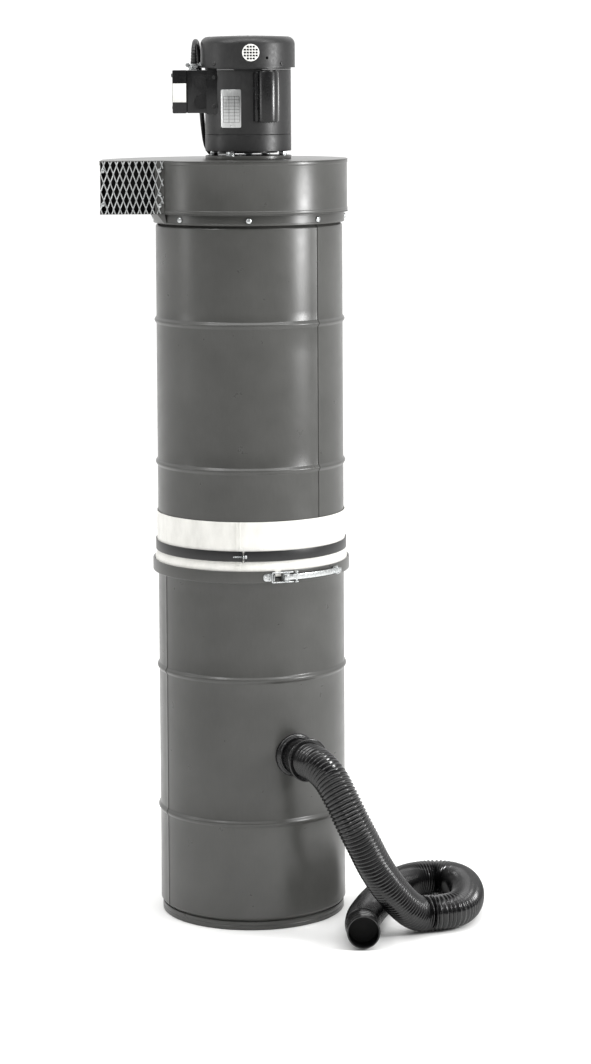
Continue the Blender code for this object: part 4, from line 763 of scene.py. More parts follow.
for side in (-0.0063, 0.0063):
    pins.append(slab("blade", (face - 0.001, PLUG_Y + side - 0.0008, 0.0033),
                     (face + 0.016, PLUG_Y + side + 0.0008, 0.0095), 0.0003))
plug_pins = finish_piece("mains_plug_pins", pins, zinc_plate, "lower_unit", slot="bright_steel")
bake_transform(cord)

# %% [markdown]
# ## The drums
# Each drum is rolled sheet, welded down one side, with two rolling hoops pressed out of
# the wall, a rim curled outwards at its open end and a flat head folded over the other
# end in a double seam. The upper drum is the same drum turned over. A fine turned
# outline follows the pressed shapes, and the weld is a shallow groove that the turning
# leaves at one bearing.

# %% Drum dimensions
DRUM_RADIUS, DRUM_WALL, DRUM_HEIGHT = 0.181, 0.0012, 0.68
HOOPS, HOOP_RISE, HOOP_HALF = (0.2055, 0.482), 0.0038, 0.0078
UPPER_TOP = 1.3636
low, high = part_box("lower_drum")
print("drum on the frame:", round((high.z - low.z) * 1000), "mm high,", round(high.x * 2000),
      "mm over the rim")


# %% Drum outline
def wall_radius(z):
    """Outside radius of the wall at a height from the closed end."""
    step = min(max((z - 0.016) / 0.008, 0.0), 1.0)
    radius = DRUM_RADIUS - 0.0055 * (1.0 - step * step * (3 - 2 * step))
    for hoop in HOOPS:
        away = abs(z - hoop) / HOOP_HALF
        if away < 1.0:
            radius += HOOP_RISE * (0.5 + 0.5 * math.cos(math.pi * away)) ** 0.85
    return radius


def drum_outline():
    """Outside up, curl at the rim, inside down."""
    heights = [0.0024, 0.01] + [0.015 + 0.001 * i for i in range(12)] + [0.06, 0.12, 0.18]
    for hoop in HOOPS:
        heights += [hoop + HOOP_HALF * k / 8 for k in range(-8, 9)]
    heights += [0.26, 0.32, 0.38, 0.44, 0.53, 0.59, 0.64, 0.668]
    heights = sorted(heights)
    outline = [(wall_radius(z), z) for z in heights]
    middle, size = (0.1815, DRUM_HEIGHT - 0.004), 0.004
    for degrees in range(-80, 121, 20):
        angle = math.radians(degrees)
        outline.append((middle[0] + size * math.cos(angle), middle[1] + size * math.sin(angle)))
    return outline + [(wall_radius(z) - DRUM_WALL, z) for z in reversed(heights)]


def seam_bearings(seam):
    """Even bearings round a drum, with extra ones where its weld is."""
    near = [seam + d for d in (-1.2, -0.55, -0.4, -0.15, 0.15, 0.4, 0.55, 1.2)]
    return near + [seam + 2.4 * i for i in range(1, 149)]


def weld(seam):
    """The lap of a welded seam: a groove half a millimetre deep beside a low step."""
    def shift(bearing, z):
        """How far the wall stands out at a bearing; the same at every height."""
        away = (bearing - seam + 180.0) % 360.0 - 180.0
        if abs(away) > 0.56:
            return 0.0
        return -0.0009 if abs(away) < 0.41 else 0.0003
    return shift


# %% Lower drum
LOWER_SEAM, UPPER_SEAM = -64.5, 45.5
lower_mesh = turned("lower_drum_shell", drum_outline(), bearings=seam_bearings(LOWER_SEAM),
                    shift=weld(LOWER_SEAM))
hole = turn_to(turned("hole", oblong(0.0, 0.0328, 0.14, 0.21), 64),
               (0, 0, INLET_HEIGHT), outward)
finish_piece("lower_drum_shell", carved(lower_mesh, hole), enamel, "lower_unit", "lower_drum")


# %% Heads with their double seam
def head_outline(bore):
    """A recessed flat head and the fold that grips the wall, with a groove between its rolls."""
    seam = softened([(0.1777, 0.0), (0.1777, 0.0072), (0.1768, 0.008), (0.1777, 0.0088), (0.1777, 0.016),
                     (0.1759, 0.016), (0.1759, 0.002), (0.174, 0.002), (0.174, 0.0145)], 0.0006, 2)
    return seam + [(bore, 0.0145), (bore, 0.013)] + softened(
        [(0.1725, 0.013), (0.1725, 0.0), (0.175, 0.0)], 0.0008, 2)[:8]


foot = [(r, max(z, 0.0)) for r, z in head_outline(0.0)]
finish_piece("lower_drum_head", turned("lower_drum_head", foot, 144), enamel, "lower_unit",
             "drum_bottom")

# %% Upper drum
upper_outline = [(r, UPPER_TOP - z) for r, z in drum_outline()]
finish_piece("upper_drum_shell", turned("upper_drum_shell", upper_outline,
                                        bearings=seam_bearings(UPPER_SEAM),
                                        shift=weld(UPPER_SEAM)),
             enamel, "upper_unit", "upper_drum")

# %% [markdown]
# ## The clamp ring
# A split channel of rolled steel grips both rims and the cloth between them. Its two
# lips are bent inwards, so its outside is a flat band with rounded edges that catch a
# bright line above and below.

# %% Clamp ring
GAP_BEARING, GAP_DEGREES = 15.5, 3.6
RING_LOW, RING_HIGH, RING_OUTER = 0.6702, 0.6934, 0.1915
RING_MIDDLE = (RING_LOW + RING_HIGH) / 2
channel = softened([(0.1826, RING_LOW), (RING_OUTER, RING_LOW), (RING_OUTER, RING_HIGH),
                    (0.1881, RING_HIGH),
                    (0.1881, RING_HIGH - 0.0015), (RING_OUTER - 0.0015, RING_HIGH - 0.0015),
                    (RING_OUTER - 0.0015, RING_LOW + 0.0015), (0.1826, RING_LOW + 0.0015)], 0.0022, 4)
ring_bearings = arc(GAP_BEARING + GAP_DEGREES / 2, GAP_BEARING - GAP_DEGREES / 2 + 360.0, 2.5)
finish_piece("split_clamp_ring", turned("split_clamp_ring", channel, bearings=ring_bearings, whole=False),
             plain_enamel, "lower_unit", "clamp_ring")

# %% [markdown]
# ## The ring's lever closure
# The ring is drawn shut by an over-centre lever. A pressed hook plate is riveted to one
# end of the ring, a channel bracket to the other. A wire bail hangs on the lever's stud,
# drops over the hook, and the lever is folded back along the ring to a small catch. The
# bail is a bent round wire, so it is a tube; the rest is thin zinc-plated strip.

# %% Closure places
CLOSURE = 0.1987
HOOK, PIN, STUD, CATCH, LEVER_END = 11.5, 19.5, 25.5, 56.0, 59.0
EARS = 0.0073


def upright(radius, bearing, half, sides=24, at=CLOSURE):
    """An upright pin on the closure's radius with rounded ends."""
    outline = softened(oblong(0.0, radius, -half, half), radius * 0.4, 2)
    pin = turned("pin", [(max(r, 0.0), z) for r, z in outline], sides)
    moved(pin, around(at, bearing, RING_MIDDLE))
    return pin


def rivet(radius, bearing, height, size=0.0024):
    """A domed rivet head that faces out of the drum."""
    dome = [(0.0, -0.001), (size, -0.001)] + [(size * math.cos(a), size * 0.55 * math.sin(a))
                                             for a in (0.0, 0.4, 0.8, 1.2)] + [(0.0, size * 0.55)]
    return turn_to(turned("rivet", dome, 20), around(radius, bearing, height), around(1.0, bearing))


# %% Hook plate
def bent_plate(bearing, half_width, half_height, inner, metal, corner):
    """A round-cornered plate that follows the ring's curve."""
    outline = softened(oblong(-half_width, half_width, -half_height, half_height), corner, 4)
    plate = raised("plate", outline, 0.0, metal, 0.0003)
    for v in plate.vertices:
        across, up, out = v.co
        v.co = around(inner + out, bearing + math.degrees(across / inner), RING_MIDDLE + up)
    return plate


hook_foot = bent_plate(HOOK - 1.9, 0.0095, EARS, 0.1918, 0.0013, 0.0068)
horn = [(0.0019, 0.001), (0.0046, 0.0012), (0.004, 0.003), (0.0036, 0.0098), (0.002, 0.0098),
        (0.0019, 0.004), (-0.0019, 0.004), (-0.0019, 0.0062), (-0.0036, 0.0062), (-0.0046, 0.001)]
horn_plan = [around(0.1918 + out, HOOK + math.degrees(across / 0.1918)) for across, out in horn]
horn_mesh = raised("horn", [(p.x, p.y) for p in horn_plan], RING_MIDDLE - 0.0058, RING_MIDDLE + 0.0058,
                   0.0003)
rivets = [rivet(0.1931, HOOK - 1.9 + d, RING_MIDDLE + h, 0.0021) for d,
          h in ((-1.9, 0.0), (0.2, 0.0045), (0.2, -0.0045))]
finish_piece("closure_hook", [hook_foot, horn_mesh] + rivets, zinc_plate, "lower_unit", "hook_bracket")


# %% Channel brackets for the lever's pin and its catch
def channel_bracket(bearing, half_width, reach):
    """Two ears on a back plate, open outwards."""
    back, inside, ear = 0.1918, 0.193, 0.002
    low, high = RING_MIDDLE - EARS, RING_MIDDLE + EARS
    section = softened([(back, low), (back + reach, low), (back + reach, low + ear), (inside, low + ear),
                        (inside, high - ear), (back + reach, high - ear), (back + reach, high),
                        (back, high)],
                       0.0006, 2)
    spread = math.degrees(half_width / back)
    return turned("bracket", section, bearings=arc(bearing - spread, bearing + spread, 0.6), whole=False)


finish_piece("lever_bracket_channel", channel_bracket(PIN, 0.0052, 0.0117), zinc_plate, "lower_unit",
             "lever_bracket")
finish_piece("lever_pivot_pin", upright(0.0025, PIN, 0.0076), zinc_plate, "lower_unit", "lever_pin")
wire = [around(0.1945, CATCH - 1.9, RING_MIDDLE + 0.006),
        around(0.203, CATCH - 1.7, RING_MIDDLE + 0.0062),
        around(0.2058, CATCH - 0.9, RING_MIDDLE + 0.004), around(0.2062, CATCH - 0.3, RING_MIDDLE),
        around(0.2058, CATCH - 0.9, RING_MIDDLE - 0.004),
        around(0.203, CATCH - 1.7, RING_MIDDLE - 0.0062),
        around(0.1945, CATCH - 1.9, RING_MIDDLE - 0.006)]
catch_wire = tube("catch_wire", smooth_route(wire, 0.001), 0.0009, 10)
catch_mesh = together("catch", [channel_bracket(CATCH, 0.006, 0.005), catch_wire,
                                rivet(0.193, CATCH + 2.6, RING_MIDDLE, 0.0022)])
finish_piece("lever_catch_wire", catch_mesh, zinc_plate, "lower_unit", "lever_catch")

# %% Lever
lever_section = softened([(CLOSURE - 0.001, RING_MIDDLE - 0.005),
                          (CLOSURE + 0.0017, RING_MIDDLE - 0.005),
                          (CLOSURE + 0.0017, RING_MIDDLE + 0.005),
                          (CLOSURE - 0.001, RING_MIDDLE + 0.005),
                          (CLOSURE - 0.001, RING_MIDDLE + 0.0041),
                          (CLOSURE + 0.0007, RING_MIDDLE + 0.0036),
                          (CLOSURE + 0.0007, RING_MIDDLE - 0.0036),
                          (CLOSURE - 0.001, RING_MIDDLE - 0.0041)],
                         0.0005, 2)
lever_strip = turned("lever", lever_section, bearings=arc(PIN + 0.6, LEVER_END, 1.0), whole=False)
for v in lever_strip.vertices:                       # the free end narrows and turns out a little
    bearing = math.degrees(math.atan2(v.co.x, -v.co.y))
    end = max(0.0, (bearing - (LEVER_END - 5.0)) / 5.0)
    v.co.z = RING_MIDDLE + (v.co.z - RING_MIDDLE) * (1.0 - 0.35 * end * end)
    out = Vector((v.co.x, v.co.y, 0.0)).normalized() * 0.0016 * end * end
    v.co += out
barrel = turned("barrel", softened(oblong(0.0026, 0.0047, -0.005, 0.005),
                                   0.0006, 2), 32)
moved(barrel, around(CLOSURE, PIN, RING_MIDDLE))
stud = upright(0.002, STUD, 0.0108)
finish_piece("closing_lever", [lever_strip, barrel, stud], zinc_plate, "lever", "clamp_lever")

# %% Wire bail
BAR = 0.0093
half_bail = [around(CLOSURE, b, RING_MIDDLE + BAR) for b in (STUD + 0.2, STUD - 2.0, STUD - 5.0, HOOK + 4.0,
                                                             HOOK + 1.2)]
corner = [around(CLOSURE, HOOK + 0.25, RING_MIDDLE + BAR - 0.0007),
          around(CLOSURE, HOOK, RING_MIDDLE + BAR - 0.0022)]
bail_knots = half_bail + corner + [Vector((p.x, p.y,
                                           2 * RING_MIDDLE - p.z)) for p in (half_bail + corner)[::-1]]
eyes = [turned("eye", softened(oblong(0.00215, 0.004, -0.0013, 0.0013),
                               0.0005, 2), 24) for _ in range(2)]
for eye, side in zip(eyes, (-1, 1)):
    moved(eye, around(CLOSURE, STUD, RING_MIDDLE + side * BAR))
bail_line = smooth_route(bail_knots[1:-1], 0.0009)
finish_piece("wire_bail", together("wire_bail", [tube("bail", bail_line, 0.0014, 12)] + eyes), zinc_plate,
             "link", "closing_link")

# %% Rim gasket
finish_piece("rim_gasket_ring", turned("rim_gasket_ring", softened(
    oblong(0.1775, 0.1855, 0.6803, 0.6818), 0.0005, 2), 96),
    nitrile, "lower_unit", "rim_gasket")

# %% [markdown]
# ## The cloth filter
# The filter is a sewn cotton sock. Its body stands inside the upper drum, its mouth lies
# over the rim and is pulled up outside as a white cuff. Stretched cloth has few folds,
# so a turned outline with small creases, a bulge where it clears the rolled rim and a
# lapped seam says more than a drape would. No simulation is used: the cuff is tight.

# %% Cuff
CUFF_LOW, CUFF_HIGH, CUFF_SEAM = 0.6823, 0.786, -9.0
CLOTH = 0.0012


def cuff_radius(z):
    """Outside of the cuff: over the rim's curl, then in to the wall."""
    knee = min(max((z - 0.694) / 0.014, 0.0), 1.0)
    return 0.187 - 0.004 * knee * knee * (3 - 2 * knee)


def creases(bearing, z):
    """Shallow tension lines that run up the cloth, the seam's lap and a soft top edge."""
    spot = around(2.2, bearing, z * 5.0)
    free = min(max((z - 0.696) / 0.02, 0.0), 1.0)
    crease = 0.0007 * noise.noise(spot * 3.0) + 0.0004 * noise.noise(spot * 9.0)
    under_strap = math.exp(-((z - 0.721) / 0.013) ** 4)
    away = (bearing - CUFF_SEAM + 180.0) % 360.0 - 180.0
    lap = 0.0009 if 0.0 < away < 2.6 else 0.0
    return free * (crease * (1.0 - 0.8 * under_strap) + 0.0003) + lap * (1.0 - under_strap)


cuff_heights = [CUFF_LOW + 0.0012 + (CUFF_HIGH - CUFF_LOW - 0.0012) * i / 44 for i in range(45)]
cuff_outline = [(0.1862, CUFF_LOW)] + [(cuff_radius(z), z) for z in cuff_heights]
cuff_outline += [(cuff_radius(z) - CLOTH, z) for z in reversed(cuff_heights)]
cuff_bearings = sorted([CUFF_SEAM + d for d in (-0.02, 0.05, 0.6, 1.2, 1.8, 2.5, 2.65)]
                       + [CUFF_SEAM + 4.2 + 1.6 * i for i in range(222)])
filter_cuff = finish_piece("filter_cuff_cloth",
                           turned("filter_cuff_cloth", cuff_outline, bearings=cuff_bearings,
                                                       shift=creases),
                           cotton, "upper_unit", "filter_cuff", smooth=50.0)

# %% Stitching of the cuff
stitches = []
for row in (0.45, 2.05):
    for i in range(30):
        low = 0.699 + 0.0029 * i
        if 0.709 < low < 0.731:
            continue
        stitches.append(tube("stitch", [around(cuff_radius(low) + 0.0009 + d, CUFF_SEAM + row, low + z)
                                        for d, z in ((0.0, 0.0), (0.0004, 0.0006), (0.0004, 0.0015),
                                                     (0.0, 0.0021))],
                             0.00032, 6))
cuff_thread = finish_piece("filter_cuff_stitching", stitches, cotton, "upper_unit")

# %% Sock inside the upper drum
BAG_RADIUS, BAG_TOP = 0.165, 1.29


def sag(bearing, z):
    """Long soft folds that fade towards the mouth and the closed end."""
    up = min(max((z - 0.72) / 0.12, 0.0), 1.0) * min(max((BAG_TOP - 0.02 - z) / 0.1, 0.0), 1.0)
    return -0.0025 * up * (1.0 + math.sin(math.radians(bearing * 14) + 3.0 * math.sin(z * 6.0)))


sock_line = [(0.1855, 0.6821), (0.1772, 0.6823), (0.1715, 0.69), (0.1662, 0.702)]
sock_line += [(BAG_RADIUS, 0.715 + 0.025 * i) for i in range(22)]
sock_line += [(BAG_RADIUS - 0.022 * (1 - math.cos(a)), BAG_TOP - 0.022 * (1 - math.sin(a)))
              for a in (0.3, 0.6, 0.9, 1.2, 1.5)] + [(0.09, BAG_TOP), (0.0, BAG_TOP - 0.001)]
sock_outline = sock_line + [(max(r - CLOTH, 0.0), z - CLOTH) for r, z in reversed(sock_line)]
sock = finish_piece("filter_sock", turned("filter_sock", sock_outline, 168, shift=sag), cotton,
                    "upper_unit", "filter_bag", smooth=50.0)

# %% [markdown]
# ## The strap and its screw
# A woven band holds the cuff against the drum. Its ends are turned outwards at the front
# and a long machine screw with a round nut draws them together.

# %% Strap
STRAP_BEARING, STRAP_MIDDLE, STRAP_HALF = -4.5, 0.721, 0.01
STRAP_IN, STRAP_OUT = 0.1845, 0.1857
half_gap = 0.52
strap_section = softened(oblong(STRAP_IN, STRAP_OUT, STRAP_MIDDLE - STRAP_HALF, STRAP_MIDDLE + STRAP_HALF),
                         0.0005, 2)
strap_band = turned("strap", strap_section, bearings=arc(STRAP_BEARING + half_gap,
                                                         STRAP_BEARING + 360 - half_gap, 2.0),
                    whole=False)
lugs = []
for side in (-1, 1):
    lug = raised("lug", softened(oblong(-0.0006, 0.0006, -0.0003, 0.0088),
                                 0.0004, 2), -STRAP_HALF, STRAP_HALF, 0.0003)
    swung(lug, 180)
    lugs.append(on_wall(lug, STRAP_IN + 0.0006, STRAP_BEARING + side * (half_gap + 0.19), STRAP_MIDDLE))
finish_piece("filter_strap_webbing", [strap_band] + lugs, webbing, "upper_unit", "filter_strap")

# %% Strap screw
screw_centre = around(STRAP_OUT + 0.0048, STRAP_BEARING, STRAP_MIDDLE)
leftwards = around(1.0, STRAP_BEARING - 90.0)
screw_outline = [(0.0, 0.0), (0.0026, 0.0), (0.0036, 0.0009), (0.0036, 0.003), (0.0019, 0.0031)]
for i in range(28):                                     # 0.8 mm thread
    screw_outline += [(0.0019, 0.0034 + 0.0008 * i), (0.0015, 0.0038 + 0.0008 * i)]
screw_outline += [(0.0012, 0.0262), (0.0, 0.0262)]
nut = softened(oblong(0.002, 0.0036, 0.0046, 0.0072), 0.0006, 2)
screw_mesh = together("screw", [turned("screw", screw_outline, 20), turned("nut", nut, 24)])
finish_piece("strap_draw_screw", turn_to(screw_mesh, screw_centre - leftwards * 0.007, leftwards),
             zinc_plate, "upper_unit", "strap_screw")

# %% [markdown]
# ## The inlet
# A moulded flange hugs the round wall and a short pipe passes through it. The pipe ends
# in a rolled lip, over which the hose is pushed. Both are turned about the pipe's axis;
# the flange's back is then cut to the drum's curve.

# %% Inlet collar and flange
collar_profile = softened([(0.0305, 0.1678), (0.0325, 0.1678), (0.0325, 0.204), (0.034, 0.206),
                           (0.034, 0.215), (0.0325, 0.217), (0.0325, 0.2262), (0.0375, 0.227),
                           (0.041, 0.229), (0.041, 0.2325), (0.0395, 0.2333), (0.0305, 0.2333)], 0.0012,
                           3)
finish_piece("inlet_pipe", turn_to(turned("inlet_pipe", collar_profile, 72), (0, 0, INLET_HEIGHT), outward),
             abs_plastic, "lower_unit", "inlet_collar")
flange_profile = softened([(0.0328, 0.16), (0.0412, 0.16), (0.0412, 0.1832), (0.0395, 0.1852),
                           (0.0372, 0.1858), (0.0366, 0.189), (0.0328, 0.1896)], 0.001, 3)
flange_mesh = turn_to(turned("flange", flange_profile, 72), (0, 0, INLET_HEIGHT), outward)
drum_core = turned("core", oblong(0.0, 0.1812, 0.25, 0.42), 240)
finish_piece("inlet_flange_moulding", carved(flange_mesh, drum_core), abs_plastic, "lower_unit",
             "inlet_flange")

# %% [markdown]
# ## The blower
# The blower is folded and rolled sheet: a base plate with a spun inlet cone, a side wall
# that is round for half a turn and then opens to a square outlet, and a cover. The side
# wall is one strip carried along a line, with a rolled hem at both edges that catches
# the light. Its inside never sees paint or light; those faces are given a near-black
# finish that is painted shade.

# %% Blower line
SCROLL_RADIUS, SCROLL_GROWTH, OUTLET_PLANE = 0.191, 0.0916, -0.10245
OUTLET_LEFT, OUTLET_RIGHT, FLANGE_END = -0.2826, -0.1784, -0.1612
BASE_LOW, BASE_HIGH = 1.3666, 1.3682
WALL_LOW, WALL_HIGH = 1.3685, 1.4667
COVER_LOW, COVER_HIGH = 1.467, 1.4686
first = math.degrees(math.atan2(FLANGE_END, -OUTLET_PLANE))
scroll_line = [Vector((FLANGE_END, OUTLET_PLANE))]
for i in range(1, 121):
    bearing = first + (270.0 - first) * i / 120
    spare = max(0.0, bearing - 180.0) / 90.0
    scroll_line.append(around(SCROLL_RADIUS + SCROLL_GROWTH * spare ** 1.4, bearing).xy)
scroll_line.append(Vector((OUTLET_LEFT, OUTLET_PLANE)))
print("blower wall:", round(travel(scroll_line), 3), "m round")


# %% Carrying a section along a line
def outward_of(line):
    """At each point of a line seen from above, its outward side, longer at a corner."""
    sides = []
    for i, here in enumerate(line):
        into = (here - line[max(i - 1, 0)]).normalized() if i else (line[1] - here).normalized()
        out = (line[min(i + 1, len(line) - 1)] - here).normalized() if i < len(line) - 1 else into
        a, b = Vector((into.y, -into.x)), Vector((out.y, -out.x))
        side = (a + b).normalized()
        sides.append(side / max(0.3, side.dot(a)))
    return sides


def carried(name, line, section):
    """A closed (out, height) section carried along a line seen from above."""
    bm = bmesh.new()
    rings = [[bm.verts.new((*(here + side * out), z)) for out, z in section]
             for here, side in zip(line, outward_of(line))]
    for near, far in zip(rings, rings[1:]):
        for i in range(len(section)):
            j = (i + 1) % len(section)
            bm.faces.new((near[i], near[j], far[j], far[i]))
    bm.faces.new(rings[0])
    bm.faces.new(rings[-1][::-1])
    return closed_mesh(name, bm)


# %% Blower side wall
hem = softened([(-0.0015, WALL_LOW), (0.0008, WALL_LOW), (0.0008, WALL_LOW + 0.0056),
                (0.0, WALL_LOW + 0.0064),
                (0.0, WALL_HIGH - 0.0064), (0.0008, WALL_HIGH - 0.0056), (0.0008, WALL_HIGH),
                (-0.0015, WALL_HIGH)], 0.0005, 2)
flat_section = softened(oblong(-0.0015, 0.0, WALL_LOW, WALL_HIGH), 0.0004, 2)
flange_line = [Vector((OUTLET_RIGHT, OUTLET_PLANE + 0.034)), Vector((OUTLET_RIGHT, OUTLET_PLANE)),
               Vector((FLANGE_END, OUTLET_PLANE))]
wall_mesh = together("blower_side", [carried("wall", scroll_line, hem),
                                     carried("flange", flange_line, flat_section)])
blower_side = finish_piece("blower_side_wall", wall_mesh, plain_enamel, "upper_unit", "blower_scroll")
# The scroll's inward faces take the near-black painted shade.
blower_side.data.materials.append(painted_shade_black)
for face_ in blower_side.data.polygons:
    middle = face_.center
    outwards = Vector((middle.x, middle.y, 0.0)) if middle.x > OUTLET_LEFT + 0.02 else Vector((-1.0, 0.0,
                                                                                               0.0))
    if face_.normal.dot(outwards.normalized()) < -0.3:
        face_.material_index = 1

# %% Motor bolt holes
BOLT_CIRCLE, BOLT_BEARINGS = 0.0746, [-27.0 + 90.0 * i for i in range(4)]


def bolt_drills(radius, top=1.4901):
    """Four upright drills on the motor's bolt circle, to cut a plate with."""
    return together("drills", [moved(turned("drill", oblong(0.0, radius, 1.44, top), 24),
                                     around(BOLT_CIRCLE, bearing)) for bearing in BOLT_BEARINGS])


# %% Blower plates
plate_line = [here + side * 0.0012 for here, side in zip(scroll_line, outward_of(scroll_line))]
plate_line[0].y = plate_line[-1].y = OUTLET_PLANE
plate_plan = [(p.x, p.y) for p in plate_line]
cover_mesh = raised("cover", plate_plan, COVER_LOW, COVER_HIGH, 0.0005)
cover_mesh = carved(cover_mesh, turned("eye", oblong(0.0, 0.028, 1.45, 1.49), 64))
cover_mesh = carved(cover_mesh, bolt_drills(0.0051, 1.51))
finish_piece("blower_cover_plate", cover_mesh, plain_enamel, "upper_unit", "blower_cover", smooth=25.0)
base_mesh = raised("base", plate_plan, BASE_LOW, BASE_HIGH, 0.0005)
base_mesh = carved(base_mesh, turned("eye", oblong(0.0, 0.0712, 1.35, 1.38), 96))
cone = turned("cone", softened([(0.0715, BASE_LOW), (0.0735, BASE_HIGH), (0.069, BASE_LOW + 0.016),
                                (0.0668, BASE_LOW + 0.0245), (0.0652, BASE_LOW + 0.0245),
                                (0.0675, BASE_LOW + 0.014)], 0.0006, 2), 96)
base_mesh = carved(base_mesh, cone, "UNION")
blower_floor = finish_piece("blower_base_plate", base_mesh, plain_enamel, "upper_unit", "blower_base",
                            smooth=25.0)
# The base plate's upper faces inside the scroll take the near-black painted shade.
blower_floor.data.materials.append(painted_shade_black)
for face_ in blower_floor.data.polygons:
    if face_.normal.z > 0.3 and face_.center.z > BASE_HIGH - 0.0002 and face_.center.xy.length < 0.27:
        face_.material_index = 1

# %% Band below the blower
BAND_LOW, BAND_HIGH, BAND_IN, BAND_OUT = 1.3473, 1.3663, 0.1831, 0.1847
band_section = softened([(BAND_IN, BAND_LOW), (BAND_OUT + 0.0005, BAND_LOW),
                         (BAND_OUT + 0.0005, BAND_LOW + 0.003),
                         (BAND_OUT, BAND_LOW + 0.0036), (BAND_OUT, BAND_HIGH), (BAND_IN, BAND_HIGH)],
                         0.0004, 2)
band_mesh = turned("band", band_section, 160)
finish_piece("blower_band_ring", band_mesh, plain_enamel, "upper_unit", "blower_band")
finish_piece("blower_seal", turned("blower_seal",
                                   softened(oblong(0.17, 0.1835, 1.3639, 1.3663), 0.0006, 2), 128),
                                   nitrile, "upper_unit", "blower_gasket")

# %% Gusset under the outlet
gusset_plan = [(-0.16, -0.101), (-0.1745, -0.098), (-0.1905, -0.06), (-0.1862, -0.03),
               (-0.18, -0.042)]
gusset = raised("gusset", gusset_plan, 1.348, BASE_LOW - 0.0002, 0.0006)
for v in gusset.vertices:                                # its lower edge slopes in to the band
    down = (BASE_LOW - v.co.z) / (BASE_LOW - 1.348)
    away = v.co.xy.length
    if away > 0.1853:
        keep = 0.1853 + (away - 0.1853) * (1.0 - down)
        v.co.xy = v.co.xy.normalized() * keep
finish_piece("outlet_gusset", gusset, plain_enamel, "upper_unit")

# %% Band screws
screw_head = [(0.0, 0.1779), (0.0022, 0.1779), (0.0022, 0.1851), (0.0056, 0.1851), (0.0056, 0.1861),
              (0.0048, 0.1872), (0.0034, 0.188), (0.002, 0.1883), (0.0018, 0.1868), (0.0, 0.1868)]
for i in range(8):
    spot = around(1.0, 45.0 * i)
    name = f"band_screw_{i + 1}"
    head = turn_to(turned(name + "_head", screw_head, 24), (0, 0, (BAND_LOW + BAND_HIGH) / 2), spot)
    finish_piece(name + "_head", head, zinc_plate, "upper_unit", name, smooth=40.0)

# %% [markdown]
# ## The outlet's expanded metal
# Expanded mesh is slit and pulled, so each strand is a flat ribbon that stands turned
# to the sheet, and the strands meet in bonds twice as wide. The ribbons here run from
# bond to bond, tilted one way, and stop at the outlet's edges. The turned ribbons are
# what makes a galvanised mesh glitter in front of a dark duct.

# %% Expanded metal
MESH_ACROSS, MESH_UP, STRAND, STRAND_METAL = 0.0123, 0.0333, 0.002, 0.0012
mesh_left, mesh_right = OUTLET_LEFT + 0.0008, OUTLET_RIGHT + 0.016
mesh_low, mesh_high = BASE_LOW + 0.0008, COVER_HIGH - 0.001
mesh_y = OUTLET_PLANE - 0.0015


def clipped(a, b):
    """The part of a strand inside the outlet, or nothing."""
    t0, t1 = 0.0, 1.0
    for start, end, low, high in ((a.x, b.x, mesh_left, mesh_right), (a.z, b.z, mesh_low, mesh_high)):
        if abs(end - start) < 1e-9:
            continue
        near, far = sorted(((low - start) / (end - start), (high - start) / (end - start)))
        t0, t1 = max(t0, near), min(t1, far)
    return (a.lerp(b, t0), a.lerp(b, t1)) if t1 - t0 > 0.08 else None


def ribbon(a, b, width, metal, tilt):
    """A flat strip between two points of the mesh, turned about its length."""
    along = (b - a).normalized()
    side = along.cross(Vector((0, 1, 0))).normalized()
    side = Matrix.Rotation(tilt, 3, along) @ side
    up = along.cross(side)
    bm = bmesh.new()
    ends = [[bm.verts.new(p + side * s * width / 2 + up * u * metal / 2)
             for s, u in ((-1, -1), (1, -1), (1, 1), (-1, 1))] for p in (a, b)]
    for k in range(4):
        bm.faces.new((ends[0][k], ends[0][(k + 1) % 4], ends[1][(k + 1) % 4], ends[1][k]))
    bm.faces.new(ends[0])
    bm.faces.new(ends[1][::-1])
    return closed_mesh("ribbon", bm)


# %% Strands and bonds
strands = []
columns = int((mesh_right - mesh_left) / (MESH_ACROSS / 2)) + 2
rows = int((mesh_high - mesh_low) / (MESH_UP / 2)) + 2
for row in range(-1, rows):
    for column in range(-1, columns):
        if (row + column) % 2:
            continue
        bond = Vector((mesh_left + column * MESH_ACROSS / 2, mesh_y, mesh_low + 0.01 + row * MESH_UP / 2))
        for step in (-1, 1):
            other = bond + Vector((step * MESH_ACROSS / 2, 0, MESH_UP / 2))
            strand = clipped(bond, other)
            if strand:
                strands.append(ribbon(*strand, STRAND, STRAND_METAL, math.radians(28 * step)))
        lump = clipped(bond - Vector((0, 0, 0.003)), bond + Vector((0, 0, 0.003)))
        if lump and mesh_left < bond.x < mesh_right:
            strands.append(ribbon(*lump, STRAND * 1.25, STRAND_METAL * 1.3, 0.0))
finish_piece("outlet_expanded_metal", strands, galvanised, "upper_unit", "outlet_mesh")
print("expanded metal:", len(strands), "strands and bonds")

# %% Painted shade behind the outlet, and outlet screws
# A near-black sheet behind the mesh is painted shade for the unlit duct.
duct_shade_sheet = slab("duct", (OUTLET_LEFT + 0.004, OUTLET_PLANE + 0.058, BASE_HIGH + 0.002),
              (OUTLET_RIGHT + 0.004, OUTLET_PLANE + 0.06, COVER_LOW - 0.002), 0.0004)
finish_piece("outlet_duct_shade", duct_shade_sheet, painted_shade_black, "upper_unit", slot="grey_paint")


def pan_screw(place, facing, sides=20):
    """A pan head that faces the given way."""
    head = [(0.0, 0.0), (0.004, 0.0), (0.0039, 0.001), (0.003, 0.002), (0.0016, 0.0024), (0.0, 0.0024)]
    return turn_to(turned("pan", head, sides), place, facing)


